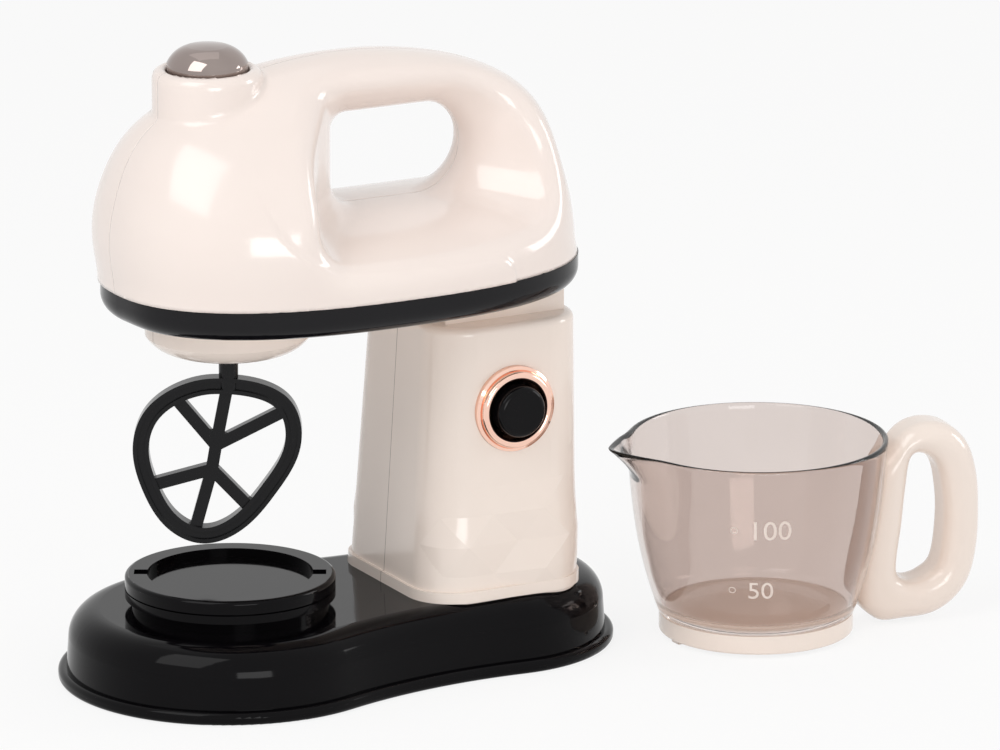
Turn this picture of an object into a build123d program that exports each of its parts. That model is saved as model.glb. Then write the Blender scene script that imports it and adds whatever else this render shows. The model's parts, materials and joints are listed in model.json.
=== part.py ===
from build123d import *
import os
from math import atan2, copysign, cos, degrees, hypot, pi, radians, sin, sqrt

# Toy stand mixer with a tilting head, a push button on top and one on the column, and a bowl
# with a spout and a handle that stands beside it. Millimetres, +Z up. The origin is on the floor
# under the beater's axis, the nose of the head points along -X and the column stands at +X.

os.makedirs("parts", exist_ok=True)

# Which face of a block or cylinder stands at its place
ON_TOP = (Align.CENTER, Align.CENTER, Align.MIN)
UNDER = (Align.CENTER, Align.CENTER, Align.MAX)

# Clearances shared by all pieces
WALL = 2.2
SEAT_GAP = 0.05
RUN_GAP = 0.06
CLEARANCE = 0.3
SLIDE_GAP = 0.30

# Base
BASE_FRONT_R = 53.5
BASE_REAR_R = 43.5
BASE_REAR_X = 85.5
BASE_WAIST_R = 150.0
PLATE_H = 4.2
PLATE_EDGE_R = 1.7
SHELL_INSET = 2.6
BASE_TOP_Z = 22.8
BASE_SHOULDER_R = 9.5
BASE_TAPER = 4.0
BASE_WALL = 2.4

# Battery bay in the underside of the base
CELL_R = 7.25
CELL_LENGTH = 48.5
CELL_NUB_R = 2.7
CELL_NUB_H = 1.2
CELL_PITCH = 16.0
BAY_X = 46.0
BAY_WALL = 1.8
DOOR_THICK = 2.0
CONTACT_THICK = 0.5

# Bowl seat on the base
SEAT_R = 32.6
SEAT_TOP_Z = 33.3
SEAT_RECESS_R = 25.7
SEAT_RECESS_H = 2.6
SEAT_GROOVE = 1.2
SEAT_PLATE_H = 4.1
SEAT_RING_H = 2.6
KEYWAY_R = 29.7
KEYWAY_W = 5.0
KEYWAY_ANGLE = -28.0
SEAT_NECK_R = 30.4

# Column
COLUMN_FRONT_LOW = 53.2
COLUMN_REAR_LOW = 109.2
COLUMN_HALF_LOW = 33.0
COLUMN_FRONT_TOP = 58.8
COLUMN_REAR_TOP = 110.0
COLUMN_HALF_TOP = 29.6
COLUMN_TOP_Z = 109.0
COLUMN_CORNER_R = 14.0
COLUMN_SHOULDER_R = 2.4
COLUMN_LIP = 1.0
COLUMN_LIP_H = 3.4

# Hinge between the column and the head
HINGE_X = 97.0
HINGE_Z = 122.0
HINGE_R = 9.0
HINGE_PIN_R = 2.5
NECK_HALF = 20.5
NECK_FRONT_X = 64.5
NECK_TOP_Z = 117.1
NECK_STEP_X = 87.0
EAR_THICK = 3.4
WASHER_THICK = 0.5

# Head: the dome's stations go up from the band, as insets from its nose, rear and sides
BAND_BOTTOM_Z = 117.0
HEAD_Z = 127.0
HEAD_NOSE_X = -38.5
HEAD_REAR_X = 116.0
HEAD_HALF = 49.0
HEAD_POWER = 2.4
HEAD_STATIONS = [
    (0.0, 0.0, 0.0, 0.0),
    (10.0, -1.3, 1.7, -1.0),
    (20.0, -1.1, 3.6, -0.5),
    (30.0, 0.6, 5.9, 2.5),
    (40.0, 4.5, 9.4, 8.5),
    (49.0, 11.0, 15.1, 17.0),
    (57.0, 23.0, 24.9, 26.0),
    (63.0, 41.5, 42.0, 35.5),
    (66.2, 52.5, 56.0, 42.0),
]
OUTLINE_STEPS = 12
BAND_EDGE_R = 6.0
BAND_INSET = 0.7

# Handle opening: rounded windows that widen with the distance from the middle plane
WINDOWS = [
    (0.0, 34.0, 79.5, 146.5, 174.5, 8.0),
    (14.0, 26.5, 87.6, 145.8, 185.8, 9.0),
    (26.0, 18.5, 99.5, 143.6, 199.0, 11.0),
    (42.0, 10.5, 107.5, 138.8, 214.0, 13.0),
    (54.0, 4.0, 113.0, 135.0, 226.0, 14.0),
]

# Boss and button on top of the nose
BOSS_X = -6.3
BOSS_R = 17.0
BOSS_TOP_Z = 194.2
BOSS_EDGE_R = 2.4
BOSS_FLOOR_Z = 181.0
TOP_BUTTON_R = 12.4
TOP_BUTTON_Z = 201.4
TOP_BUTTON_TRAVEL = 2.5
TOP_STEM_R = 3.0

# Button on the side of the column
SIDE_X = 83.0
SIDE_Z = 82.5
BEZEL_R = 13.5
BEZEL_SEAT_Y = -29.9
BEZEL_FACE_Y = -31.8
BEZEL_RING_Y = -34.2
BEZEL_SLEEVE_Y = -23.5
SIDE_BUTTON_R = 8.2
SIDE_BUTTON_Y = -37.2
SIDE_TRAVEL = 2.5
SIDE_STEM_R = 2.4

# Gear train, a modulus and four tooth counts
GEAR_MODULUS = 0.6
PINION_TEETH = 10
WHEEL_TEETH = 36
SMALL_TEETH = 12
SPINDLE_TEETH = 48
WHEEL_ANGLE = 180.0
MOTOR_ANGLE = 60.0
GEAR_BACKLASH = 0.12
SPINDLE_GEAR_Z = 111.6
SPINDLE_GEAR_H = 5.0
WHEEL_GEAR_Z = 119.7
WHEEL_GEAR_H = 2.6
AXLE_R = 1.5

# Gearbox dome under the head, and the plate over the gears
DOME_R = 25.6
DOME_Z = 105.0
DOME_EDGE_X = 12.0
DOME_EDGE_Z = 5.0
COVER_THICK = 2.0
GEAR_PLATE_Z = 124.0
GEAR_PLATE_H = 2.2

# Motor
MOTOR_W = 20.1
MOTOR_D = 15.1
MOTOR_H = 25.1
MOTOR_BOSS_R = 3.05
MOTOR_BOSS_H = 1.5
SHAFT_R = 1.0

# Beater
BEATER_ANGLE = -28.0
BEATER_SHAFT_R = 3.0
BEATER_PLUG_R = 2.6
BEATER_PLUG_TOP = 118.5
BEATER_THICK = 5.4
BEATER_RIM = 5.0
BEATER_SPOKE = 3.8
BEATER_RIDGE = 0.9
BEATER_BORDER = 1.3
BEATER_OUTLINE = [
    (-4.6, 96.0),
    (-16.5, 93.0),
    (-26.5, 84.5),
    (-29.6, 73.5),
    (-26.6, 60.0),
    (-18.6, 47.6),
    (-8.5, 43.2),
    (3.0, 47.0),
    (14.6, 59.6),
    (22.3, 75.5),
    (19.0, 89.0),
    (8.5, 94.8),
]
BEATER_UPPER_HUB = (-4.0, 74.4)
BEATER_LOWER_HUB = (-5.3, 66.7)
BEATER_UPPER_SPOKES = [(-18.4, 92.0), (0.0, 95.0), (18.4, 86.0)]
BEATER_LOWER_SPOKES = [(-26.6, 60.8), (-11.2, 45.4), (8.4, 52.2)]

# Bowl, standing on the floor beside the mixer
BOWL_X = 166.8
BOWL_Y = -35.5
BOWL_TURN = -11.0
BOWL_WALL = 1.8
BOWL_PROFILE = [(30.8, 7.2), (32.4, 12.0), (35.4, 21.5), (38.3, 36.0), (39.8, 48.0)]
BOWL_SPOUT_Z = 48.0
BOWL_RIM_Z = 63.4
BOWL_RIM_R = 41.2
BOWL_FLOOR_Z = 9.2
BOWL_FLOOR_R = 27.6
SPOUT_REACH = 49.3
SPOUT_HALF_ANGLE = 21.0
SPOUT_TIP_R = 2.2
RING_R = 30.6
RING_FOOT_Z = 1.2
RING_TOP_THICK = 2.0
SPIGOT_R = 25.2
LUG_W = 4.2
HANDLE_HALF = 8.8
HANDLE_EDGE_R = 4.2
HANDLE_STEPS = 3
HANDLE_OUTLINE = [
    (37.0, 47.0),
    (32.0, 13.0),
    (38.0, 2.0),
    (48.0, 1.2),
    (57.5, 2.2),
    (65.0, 6.8),
    (69.8, 14.0),
    (72.0, 24.5),
    (72.4, 36.0),
    (71.6, 47.0),
    (68.6, 56.8),
    (62.6, 63.0),
    (55.0, 64.9),
    (48.0, 62.9),
    (42.6, 57.0),
]
HANDLE_WINDOW = [
    (46.7, 32.0),
    (45.2, 20.6),
    (45.7, 15.6),
    (49.6, 13.5),
    (55.0, 14.8),
    (59.2, 19.0),
    (60.8, 32.0),
    (60.2, 42.5),
    (58.2, 50.6),
    (53.8, 54.6),
    (49.5, 53.6),
    (47.8, 43.0),
]

# Fasteners
SCREW_R = 1.25
SCREW_HEAD_R = 2.5
SCREW_HEAD_H = 1.8
BOSS_WALL = 1.6


def keep(builder, name):
    """Label a finished piece and write it as one STEP file."""
    builder.part.label = name
    export_step(builder.part, f"parts/{name}.step")


def screw(length):
    """A pan head screw, its head's underside at the origin and its shank along -Z."""
    with BuildPart() as shape:
        Cylinder(SCREW_HEAD_R, SCREW_HEAD_H, align=ON_TOP)
        fillet(shape.edges().sort_by(Axis.Z)[-1], SCREW_HEAD_H * 0.4)
        Cylinder(SCREW_R, length, align=UNDER)
        with Locations((0, 0, SCREW_HEAD_H)):
            Box(SCREW_HEAD_R * 1.1, 0.6, 1.6, mode=Mode.SUBTRACT)
            Box(0.6, SCREW_HEAD_R * 1.1, 1.6, mode=Mode.SUBTRACT)
    return shape.part


def draw_base_outline(inset):
    """Front and rear circles joined by two hollow arcs, drawn into the open line."""
    front = BASE_FRONT_R - inset
    rear = BASE_REAR_R - inset
    waist = BASE_WAIST_R + inset
    to_front = BASE_FRONT_R + BASE_WAIST_R
    to_rear = BASE_REAR_R + BASE_WAIST_R
    x = (to_front**2 - to_rear**2 + BASE_REAR_X**2) / (2 * BASE_REAR_X)
    y = sqrt(to_front**2 - x**2)
    front_x = front * x / to_front
    front_y = front * y / to_front
    rear_x = BASE_REAR_X + rear * (x - BASE_REAR_X) / to_rear
    rear_y = rear * y / to_rear
    ThreePointArc((front_x, front_y), (-front, 0), (front_x, -front_y))
    ThreePointArc((front_x, -front_y), (x, waist - y), (rear_x, -rear_y))
    ThreePointArc((rear_x, -rear_y), (BASE_REAR_X + rear, 0), (rear_x, rear_y))
    ThreePointArc((rear_x, rear_y), (x, y - waist), (front_x, front_y))


def dome_outline(station, inset):
    """Points of the +Y half of the head's plan outline at a station, nose to rear."""
    height, nose_in, rear_in, side_in = station
    nose = HEAD_NOSE_X + nose_in + inset
    rear = HEAD_REAR_X - rear_in - inset
    half = HEAD_HALF - side_in - inset
    middle = (nose + rear) / 2
    reach = (rear - nose) / 2
    points = []
    for step in range(OUTLINE_STEPS + 1):
        turn = pi * step / OUTLINE_STEPS
        along = -cos(turn)
        x = middle + reach * (1 if along > 0 else -1) * abs(along) ** (2 / HEAD_POWER)
        points.append((x, half * abs(sin(turn)) ** (2 / HEAD_POWER)))
    return points


def on_side(part, side):
    """The piece itself on the +Y side, or its mirror image on the -Y side."""
    return part if side > 0 else mirror(part, about=Plane.XZ, mode=Mode.PRIVATE)


def dome_half(inset, squeeze=1.0):
    """The +Y half of the head's dome, drawn in by inset, its heights multiplied by squeeze."""
    with BuildPart() as shape:
        for station in HEAD_STATIONS:
            with BuildSketch(Plane.XY.offset(HEAD_Z + station[0] * squeeze)):
                with BuildLine():
                    points = dome_outline(station, inset)
                    Spline(*points, tangents=[(0, 1), (0, -1)])
                    Line(points[-1], points[0])
                make_face()
        loft()
    return shape.part


def window_cut(grow):
    """The space of the handle opening, made larger all round by grow."""
    mirrored = [(-w[0],) + w[1:] for w in reversed(WINDOWS[1:])]
    with BuildPart() as shape:
        for y, x_low, x_high, z_low, z_high, corner in mirrored + WINDOWS:
            with BuildSketch(Plane.XZ.offset(-y)):
                with Locations(((x_low + x_high) / 2, (z_low + z_high) / 2)):
                    RectangleRounded(x_high - x_low + 2 * grow, z_high - z_low + 2 * grow, corner + grow)
        loft()
    return shape.part


def column_block(inset, low_z, top_z):
    """The column's tapering block between two heights, drawn in by inset."""
    span = COLUMN_TOP_Z - BASE_TOP_Z
    with BuildPart() as shape:
        for z in (low_z, top_z):
            share = (z - BASE_TOP_Z) / span
            front = COLUMN_FRONT_LOW + (COLUMN_FRONT_TOP - COLUMN_FRONT_LOW) * share + inset
            rear = COLUMN_REAR_LOW + (COLUMN_REAR_TOP - COLUMN_REAR_LOW) * share - inset
            half = COLUMN_HALF_LOW + (COLUMN_HALF_TOP - COLUMN_HALF_LOW) * share - inset
            with BuildSketch(Plane.XY.offset(z)):
                with Locations(((front + rear) / 2, 0)):
                    RectangleRounded(rear - front, 2 * half, COLUMN_CORNER_R - inset)
        loft(ruled=True)
    return shape.part


def gear_face_points(teeth, turn):
    """Corner points of a spur gear with straight flanks, turned by an angle in degrees."""
    pitch = GEAR_MODULUS * teeth / 2
    tip = pitch + GEAR_MODULUS * 0.9
    root = pitch - GEAR_MODULUS * 1.15
    step = 2 * pi / teeth
    thin = GEAR_BACKLASH / pitch
    points = []
    for tooth in range(teeth):
        middle = tooth * step + radians(turn)
        for radius, share in ((root, -0.36), (tip, -0.13), (tip, 0.13), (root, 0.36)):
            angle = middle + share * step + (thin / 2 if share < 0 else -thin / 2)
            points.append((radius * cos(angle), radius * sin(angle)))
    return points


# Base plate, its rounded edge showing under the shell
BAY_LENGTH = CELL_LENGTH + 2 * CELL_NUB_H + 3.0
BAY_WIDTH = CELL_PITCH + 2 * CELL_R + 1.0
DOOR_LENGTH = BAY_LENGTH + 4.0
DOOR_WIDTH = BAY_WIDTH + 4.0
BAY_TOP_Z = DOOR_THICK + 0.4 + 2 * CELL_R + 0.6
BASE_SCREWS = [(-34, 26), (-34, -26), (6, 40), (6, -40), (104, 30), (104, -30)]
SHELL_TOP_IN = BASE_TOP_Z - BASE_WALL

with BuildPart() as base_plate:
    with BuildSketch():
        with BuildLine():
            draw_base_outline(0)
        make_face()
    extrude(amount=PLATE_H)
    fillet(base_plate.faces().sort_by(Axis.Z)[-1].edges(), PLATE_EDGE_R)
    fillet(base_plate.faces().sort_by(Axis.Z)[0].edges(), PLATE_EDGE_R)
    with BuildSketch():
        with Locations((BAY_X, 0)):
            RectangleRounded(DOOR_LENGTH + 0.4, DOOR_WIDTH + 0.4, 2.0)
    extrude(amount=DOOR_THICK + 0.4, mode=Mode.SUBTRACT)
    with BuildSketch():
        with Locations((BAY_X, 0)):
            Rectangle(BAY_LENGTH, BAY_WIDTH)
    extrude(amount=PLATE_H, mode=Mode.SUBTRACT)
    with BuildSketch(Plane.XY.offset(PLATE_H)):
        with Locations((BAY_X, 0)):
            Rectangle(BAY_LENGTH + 2 * BAY_WALL, BAY_WIDTH + 2 * BAY_WALL)
            Rectangle(BAY_LENGTH, BAY_WIDTH, mode=Mode.SUBTRACT)
    extrude(amount=BAY_TOP_Z - PLATE_H)
    with BuildSketch(Plane.XY.offset(BAY_TOP_Z)):
        with Locations((BAY_X, 0)):
            Rectangle(BAY_LENGTH + 2 * BAY_WALL, BAY_WIDTH + 2 * BAY_WALL)
    extrude(amount=1.2)
    with Locations(*[(x, y, 0) for x, y in BASE_SCREWS]):
        Cylinder(SCREW_HEAD_R + 0.4, SCREW_HEAD_H + 0.5, align=ON_TOP, mode=Mode.SUBTRACT)
        Cylinder(SCREW_R + SEAT_GAP, PLATE_H, align=ON_TOP, mode=Mode.SUBTRACT)
keep(base_plate, "base_plate")

# Base shell, a domed cover with the bowl seat and the column on top
SEAT_SCREWS = [(20 * cos(radians(a)), 20 * sin(radians(a))) for a in (60, 180, 300)]
COLUMN_SCREWS = [(62, 24), (62, -24), (100, 24), (100, -24)]

with BuildPart() as base_hollow:
    with BuildSketch(Plane.XY.offset(PLATE_H)):
        with BuildLine():
            draw_base_outline(SHELL_INSET + BASE_WALL)
        make_face()
    extrude(amount=SHELL_TOP_IN - PLATE_H, taper=BASE_TAPER)
    fillet(base_hollow.faces().sort_by(Axis.Z)[-1].edges(), BASE_SHOULDER_R - BASE_WALL)

with BuildPart() as base_shell:
    with BuildSketch(Plane.XY.offset(PLATE_H)):
        with BuildLine():
            draw_base_outline(SHELL_INSET)
        make_face()
    extrude(amount=BASE_TOP_Z - PLATE_H, taper=BASE_TAPER)
    fillet(base_shell.faces().sort_by(Axis.Z)[-1].edges(), BASE_SHOULDER_R)
    add(base_hollow.part, mode=Mode.SUBTRACT)
    with Locations(*[(x, y, SHELL_TOP_IN) for x, y in BASE_SCREWS]):
        Cylinder(SCREW_R + BOSS_WALL, SHELL_TOP_IN - PLATE_H, align=UNDER)
    with Locations(*[(x, y, PLATE_H) for x, y in BASE_SCREWS]):
        Cylinder(SCREW_R + SEAT_GAP, 9.0, align=ON_TOP, mode=Mode.SUBTRACT)
    with Locations(*[(x, y, SHELL_TOP_IN) for x, y in SEAT_SCREWS + COLUMN_SCREWS]):
        Cylinder(SCREW_R + SEAT_GAP, BASE_WALL, align=ON_TOP, mode=Mode.SUBTRACT)
    with BuildSketch(Plane.XY.offset(SHELL_TOP_IN)):
        with Locations((78, 0)):
            Circle(5)
    extrude(amount=BASE_WALL, mode=Mode.SUBTRACT)
keep(base_shell, "base_shell")

with BuildPart() as base_screws:
    with Locations(*[Location((x, y, SCREW_HEAD_H + 0.5), (180, 0, 0)) for x, y in BASE_SCREWS]):
        add(screw(9.0))
keep(base_screws, "base_screws")

# Battery door with its screw, the two cells and their contacts
with BuildPart() as battery_door:
    with BuildSketch(Plane.XY.offset(0.2)):
        with Locations((BAY_X, 0)):
            RectangleRounded(DOOR_LENGTH, DOOR_WIDTH, 1.8)
    extrude(amount=DOOR_THICK)
    fillet(battery_door.faces().sort_by(Axis.Z)[0].edges(), 0.5)
    with GridLocations(0, 3.0, 1, 5):
        with Locations((BAY_X + DOOR_LENGTH / 2 - 9, 0, 0.2)):
            Box(8, 1.2, 0.8, mode=Mode.SUBTRACT)
keep(battery_door, "battery_door")

CELL_Z = DOOR_THICK + 0.4 + CELL_R
with BuildPart() as battery_cells:
    for side in (1, -1):
        with BuildSketch(Plane.YZ.offset(BAY_X - side * CELL_LENGTH / 2)):
            with Locations((side * CELL_PITCH / 2, CELL_Z)):
                Circle(CELL_R)
        extrude(amount=side * CELL_LENGTH)
        with BuildSketch(Plane.YZ.offset(BAY_X + side * CELL_LENGTH / 2)):
            with Locations((side * CELL_PITCH / 2, CELL_Z)):
                Circle(CELL_NUB_R)
        extrude(amount=side * CELL_NUB_H)
keep(battery_cells, "battery_cells")

with BuildPart() as battery_contacts:
    for end in (1, -1):
        with Locations((BAY_X + end * (BAY_LENGTH - CONTACT_THICK) / 2, 0, CELL_Z)):
            Box(CONTACT_THICK, CELL_PITCH + 8, 9)
    for end in (1, -1):
        with Locations((BAY_X + end * (CELL_LENGTH / 2 + 0.7), -end * CELL_PITCH / 2, CELL_Z)):
            Box(1.0, 6, 6)
        with Locations((BAY_X + end * (BAY_LENGTH / 2 - 1.2), -end * CELL_PITCH / 2, CELL_Z)):
            Box(2.2, 2, 6)
keep(battery_contacts, "battery_contacts")

# Bowl seat, a turned pad with a recess and two keyways
SEAT_RING_TOP = SEAT_TOP_Z - SEAT_PLATE_H - SEAT_GROOVE * 0.4
with BuildPart() as bowl_seat:
    with BuildSketch(Plane.XZ):
        with BuildLine():
            Polyline(
                (0, SEAT_TOP_Z - SEAT_RECESS_H),
                (SEAT_RECESS_R, SEAT_TOP_Z - SEAT_RECESS_H),
                (SEAT_RECESS_R, SEAT_TOP_Z),
                (SEAT_R, SEAT_TOP_Z),
                (SEAT_R, SEAT_TOP_Z - SEAT_PLATE_H),
                (SEAT_R - SEAT_GROOVE, SEAT_TOP_Z - SEAT_PLATE_H),
                (SEAT_R - SEAT_GROOVE, SEAT_RING_TOP),
                (SEAT_R, SEAT_RING_TOP),
                (SEAT_R, SEAT_RING_TOP - SEAT_RING_H),
                (SEAT_NECK_R, SEAT_RING_TOP - SEAT_RING_H),
                (SEAT_NECK_R, BASE_TOP_Z),
                (SEAT_NECK_R - WALL, BASE_TOP_Z),
                (SEAT_NECK_R - WALL, SEAT_TOP_Z - SEAT_RECESS_H - WALL),
                (0, SEAT_TOP_Z - SEAT_RECESS_H - WALL),
                close=True,
            )
        make_face()
    revolve(axis=Axis.Z)
    outer_rim = bowl_seat.edges().filter_by(GeomType.CIRCLE).group_by(Axis.Z)[-1].sort_by(SortBy.RADIUS)
    fillet(outer_rim[-1], 1.3)
    for turn in (KEYWAY_ANGLE, KEYWAY_ANGLE + 180):
        with BuildSketch(Plane.XY.offset(SEAT_TOP_Z)):
            with PolarLocations(0, 1, start_angle=turn):
                with Locations(((SEAT_RECESS_R + KEYWAY_R) / 2 - 0.5, 0)):
                    Rectangle(KEYWAY_R - SEAT_RECESS_R + 1, KEYWAY_W)
        extrude(amount=-SEAT_RECESS_H, mode=Mode.SUBTRACT)
    with Locations(*[(x, y, BASE_TOP_Z) for x, y in SEAT_SCREWS]):
        Cylinder(SCREW_R + BOSS_WALL, SEAT_TOP_Z - SEAT_RECESS_H - BASE_TOP_Z, align=ON_TOP)
        Cylinder(SCREW_R + SEAT_GAP, 6.4, align=ON_TOP, mode=Mode.SUBTRACT)
keep(bowl_seat, "bowl_seat")

with BuildPart() as seat_screws:
    with Locations(*[Location((x, y, SHELL_TOP_IN), (180, 0, 0)) for x, y in SEAT_SCREWS]):
        add(screw(7.5))
keep(seat_screws, "seat_screws")

with BuildPart() as column_screws:
    with Locations(*[Location((x, y, SHELL_TOP_IN), (180, 0, 0)) for x, y in COLUMN_SCREWS]):
        add(screw(10.0))
keep(column_screws, "column_screws")

# Column with the hinge's neck, as a whole, then split into its two mouldings
SIDE_SCREWS = [(66.0, 48.0), (99.0, 48.0), (66.0, 92.0)]
SIDE_HEAD_Y = 16.0
FOOT_BOSS_H = 12.0
RIB = 1.8
RIB_END_Y = COLUMN_HALF_LOW - 2.8
column_outer = column_block(0, BASE_TOP_Z, COLUMN_TOP_Z)
column_lip = column_block(-COLUMN_LIP, BASE_TOP_Z, BASE_TOP_Z + COLUMN_LIP_H)
column_inner = column_block(WALL, BASE_TOP_Z, COLUMN_TOP_Z - WALL)

with BuildPart() as side_bosses:
    with BuildSketch(Plane.XZ):
        with Locations(*SIDE_SCREWS):
            Circle(SCREW_HEAD_R + BOSS_WALL)
    extrude(amount=COLUMN_HALF_LOW, both=True)
    add(column_block(WALL / 2, BASE_TOP_Z, COLUMN_TOP_Z), mode=Mode.INTERSECT)

with BuildPart() as column_whole:
    add(column_outer)
    fillet(column_whole.faces().sort_by(Axis.Z)[-1].edges(), COLUMN_SHOULDER_R)
    add(column_lip)
    with BuildSketch(Plane.XZ):
        with BuildLine():
            Polyline(
                (HINGE_X + HINGE_R, HINGE_Z),
                (HINGE_X + HINGE_R, COLUMN_TOP_Z - COLUMN_SHOULDER_R),
                (NECK_FRONT_X, COLUMN_TOP_Z - COLUMN_SHOULDER_R),
                (NECK_FRONT_X, NECK_TOP_Z),
                (NECK_STEP_X, NECK_TOP_Z),
                (HINGE_X - HINGE_R, HINGE_Z),
            )
            ThreePointArc(
                (HINGE_X - HINGE_R, HINGE_Z),
                (HINGE_X, HINGE_Z + HINGE_R),
                (HINGE_X + HINGE_R, HINGE_Z),
            )
        make_face()
    extrude(amount=NECK_HALF, both=True)
    add(column_inner, mode=Mode.SUBTRACT)
    with BuildSketch(Plane.XZ):
        with BuildLine():
            Polyline(
                (HINGE_X + HINGE_R - WALL, HINGE_Z),
                (HINGE_X + HINGE_R - WALL, COLUMN_TOP_Z - COLUMN_SHOULDER_R),
                (NECK_FRONT_X + WALL, COLUMN_TOP_Z - COLUMN_SHOULDER_R),
                (NECK_FRONT_X + WALL, NECK_TOP_Z - WALL),
                (NECK_STEP_X + WALL, NECK_TOP_Z - WALL),
                (HINGE_X - HINGE_R + WALL, HINGE_Z),
            )
            ThreePointArc(
                (HINGE_X - HINGE_R + WALL, HINGE_Z),
                (HINGE_X, HINGE_Z + HINGE_R - WALL),
                (HINGE_X + HINGE_R - WALL, HINGE_Z),
            )
        make_face()
    extrude(amount=NECK_HALF - WALL, both=True, mode=Mode.SUBTRACT)
    with BuildSketch(Plane.XZ):
        with Locations((HINGE_X, HINGE_Z)):
            Circle(HINGE_PIN_R + SEAT_GAP)
    extrude(amount=NECK_HALF, both=True, mode=Mode.SUBTRACT)
    with Locations(*[(x, y, BASE_TOP_Z) for x, y in COLUMN_SCREWS]):
        Cylinder(SCREW_R + BOSS_WALL, FOOT_BOSS_H, align=ON_TOP)
    for x, y in COLUMN_SCREWS:
        rib_length = RIB_END_Y - abs(y)
        with Locations((x, copysign(abs(y) + rib_length / 2, y), BASE_TOP_Z)):
            Box(RIB, rib_length, FOOT_BOSS_H, align=ON_TOP)
    with Locations(*[(x, y, BASE_TOP_Z) for x, y in COLUMN_SCREWS]):
        Cylinder(SCREW_R + SEAT_GAP, 9, align=ON_TOP, mode=Mode.SUBTRACT)
    add(side_bosses.part)

with BuildPart() as column_left:
    add(column_whole.part)
    split(bisect_by=Plane.XZ, keep=Keep.TOP)
    with BuildSketch(Plane.XZ):
        with Locations(*SIDE_SCREWS):
            Circle(SCREW_R + SEAT_GAP)
    extrude(amount=10, mode=Mode.SUBTRACT)
    with BuildSketch(Plane.XZ.offset(-BEZEL_SLEEVE_Y)):
        with Locations((SIDE_X, SIDE_Z)):
            Circle(BEZEL_R + 1.5)
    extrude(amount=COLUMN_HALF_TOP + BEZEL_SLEEVE_Y)
    with BuildSketch(Plane.XZ.offset(-BEZEL_SLEEVE_Y)):
        with Locations((SIDE_X, SIDE_Z)):
            Circle(SIDE_BUTTON_R + SLIDE_GAP + 1.5 + SEAT_GAP)
    extrude(amount=20, mode=Mode.SUBTRACT)
    with BuildSketch(Plane.XZ.offset(-BEZEL_SEAT_Y)):
        with Locations((SIDE_X, SIDE_Z)):
            Circle(BEZEL_R + SEAT_GAP)
    extrude(amount=10, mode=Mode.SUBTRACT)
keep(column_left, "column_left")

with BuildPart() as column_right:
    add(column_whole.part)
    split(bisect_by=Plane.XZ, keep=Keep.BOTTOM)
    with BuildSketch(Plane.XZ):
        with Locations(*SIDE_SCREWS):
            Circle(SCREW_R + SEAT_GAP)
    extrude(amount=-COLUMN_HALF_LOW, mode=Mode.SUBTRACT)
    with BuildSketch(Plane.XZ.offset(-SIDE_HEAD_Y)):
        with Locations(*SIDE_SCREWS):
            Circle(SCREW_HEAD_R + 0.3)
    extrude(amount=-COLUMN_HALF_LOW, mode=Mode.SUBTRACT)
keep(column_right, "column_right")

with BuildPart() as column_side_screws:
    with Locations(*[Location((x, SIDE_HEAD_Y, z), (-90, 0, 0)) for x, z in SIDE_SCREWS]):
        add(screw(SIDE_HEAD_Y + 9))
keep(column_side_screws, "column_side_screws")

# Hinge pin and its two friction washers
EAR_Y = NECK_HALF + WASHER_THICK + 0.1
with BuildPart() as hinge_pin:
    with BuildSketch(Plane.XZ.offset(-EAR_Y - EAR_THICK)):
        with Locations((HINGE_X, HINGE_Z)):
            Circle(HINGE_PIN_R)
    extrude(amount=2 * (EAR_Y + EAR_THICK))
    chamfer(hinge_pin.edges().filter_by(GeomType.CIRCLE), 0.4)
keep(hinge_pin, "hinge_pin")

with BuildPart() as hinge_washers:
    for side in (1, -1):
        with BuildSketch(Plane.XZ.offset(side * NECK_HALF)):
            with Locations((HINGE_X, HINGE_Z)):
                Circle(HINGE_R - 2)
                Circle(HINGE_PIN_R + SEAT_GAP, mode=Mode.SUBTRACT)
        extrude(amount=side * WASHER_THICK)
keep(hinge_washers, "hinge_washers")

# Bezel, cap and switch on the side of the column
bezel_plane = Plane(origin=(SIDE_X, 0, SIDE_Z), x_dir=(1, 0, 0), z_dir=(0, 0, 1))
BORE_R = SIDE_BUTTON_R + SLIDE_GAP
with BuildPart() as button_bezel:
    with BuildSketch(bezel_plane):
        with BuildLine():
            Polyline(
                (BORE_R, BEZEL_FACE_Y + 0.6),
                (BORE_R, BEZEL_SLEEVE_Y),
                (BORE_R + 1.5, BEZEL_SLEEVE_Y),
                (BORE_R + 1.5, BEZEL_SEAT_Y),
                (BEZEL_R, BEZEL_SEAT_Y),
                (BEZEL_R, BEZEL_FACE_Y),
                (BEZEL_R - 0.9, BEZEL_FACE_Y - 0.5),
                (BEZEL_R - 1.5, BEZEL_FACE_Y - 0.3),
            )
            ThreePointArc(
                (BEZEL_R - 1.5, BEZEL_FACE_Y - 0.3),
                (BEZEL_R - 2.7, BEZEL_RING_Y),
                (BEZEL_R - 4.0, BEZEL_FACE_Y - 0.6),
            )
            Line((BEZEL_R - 4.0, BEZEL_FACE_Y - 0.6), (BORE_R, BEZEL_FACE_Y + 0.6))
        make_face()
    revolve(axis=Axis((SIDE_X, 0, SIDE_Z), (0, 1, 0)))
keep(button_bezel, "button_bezel")

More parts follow.
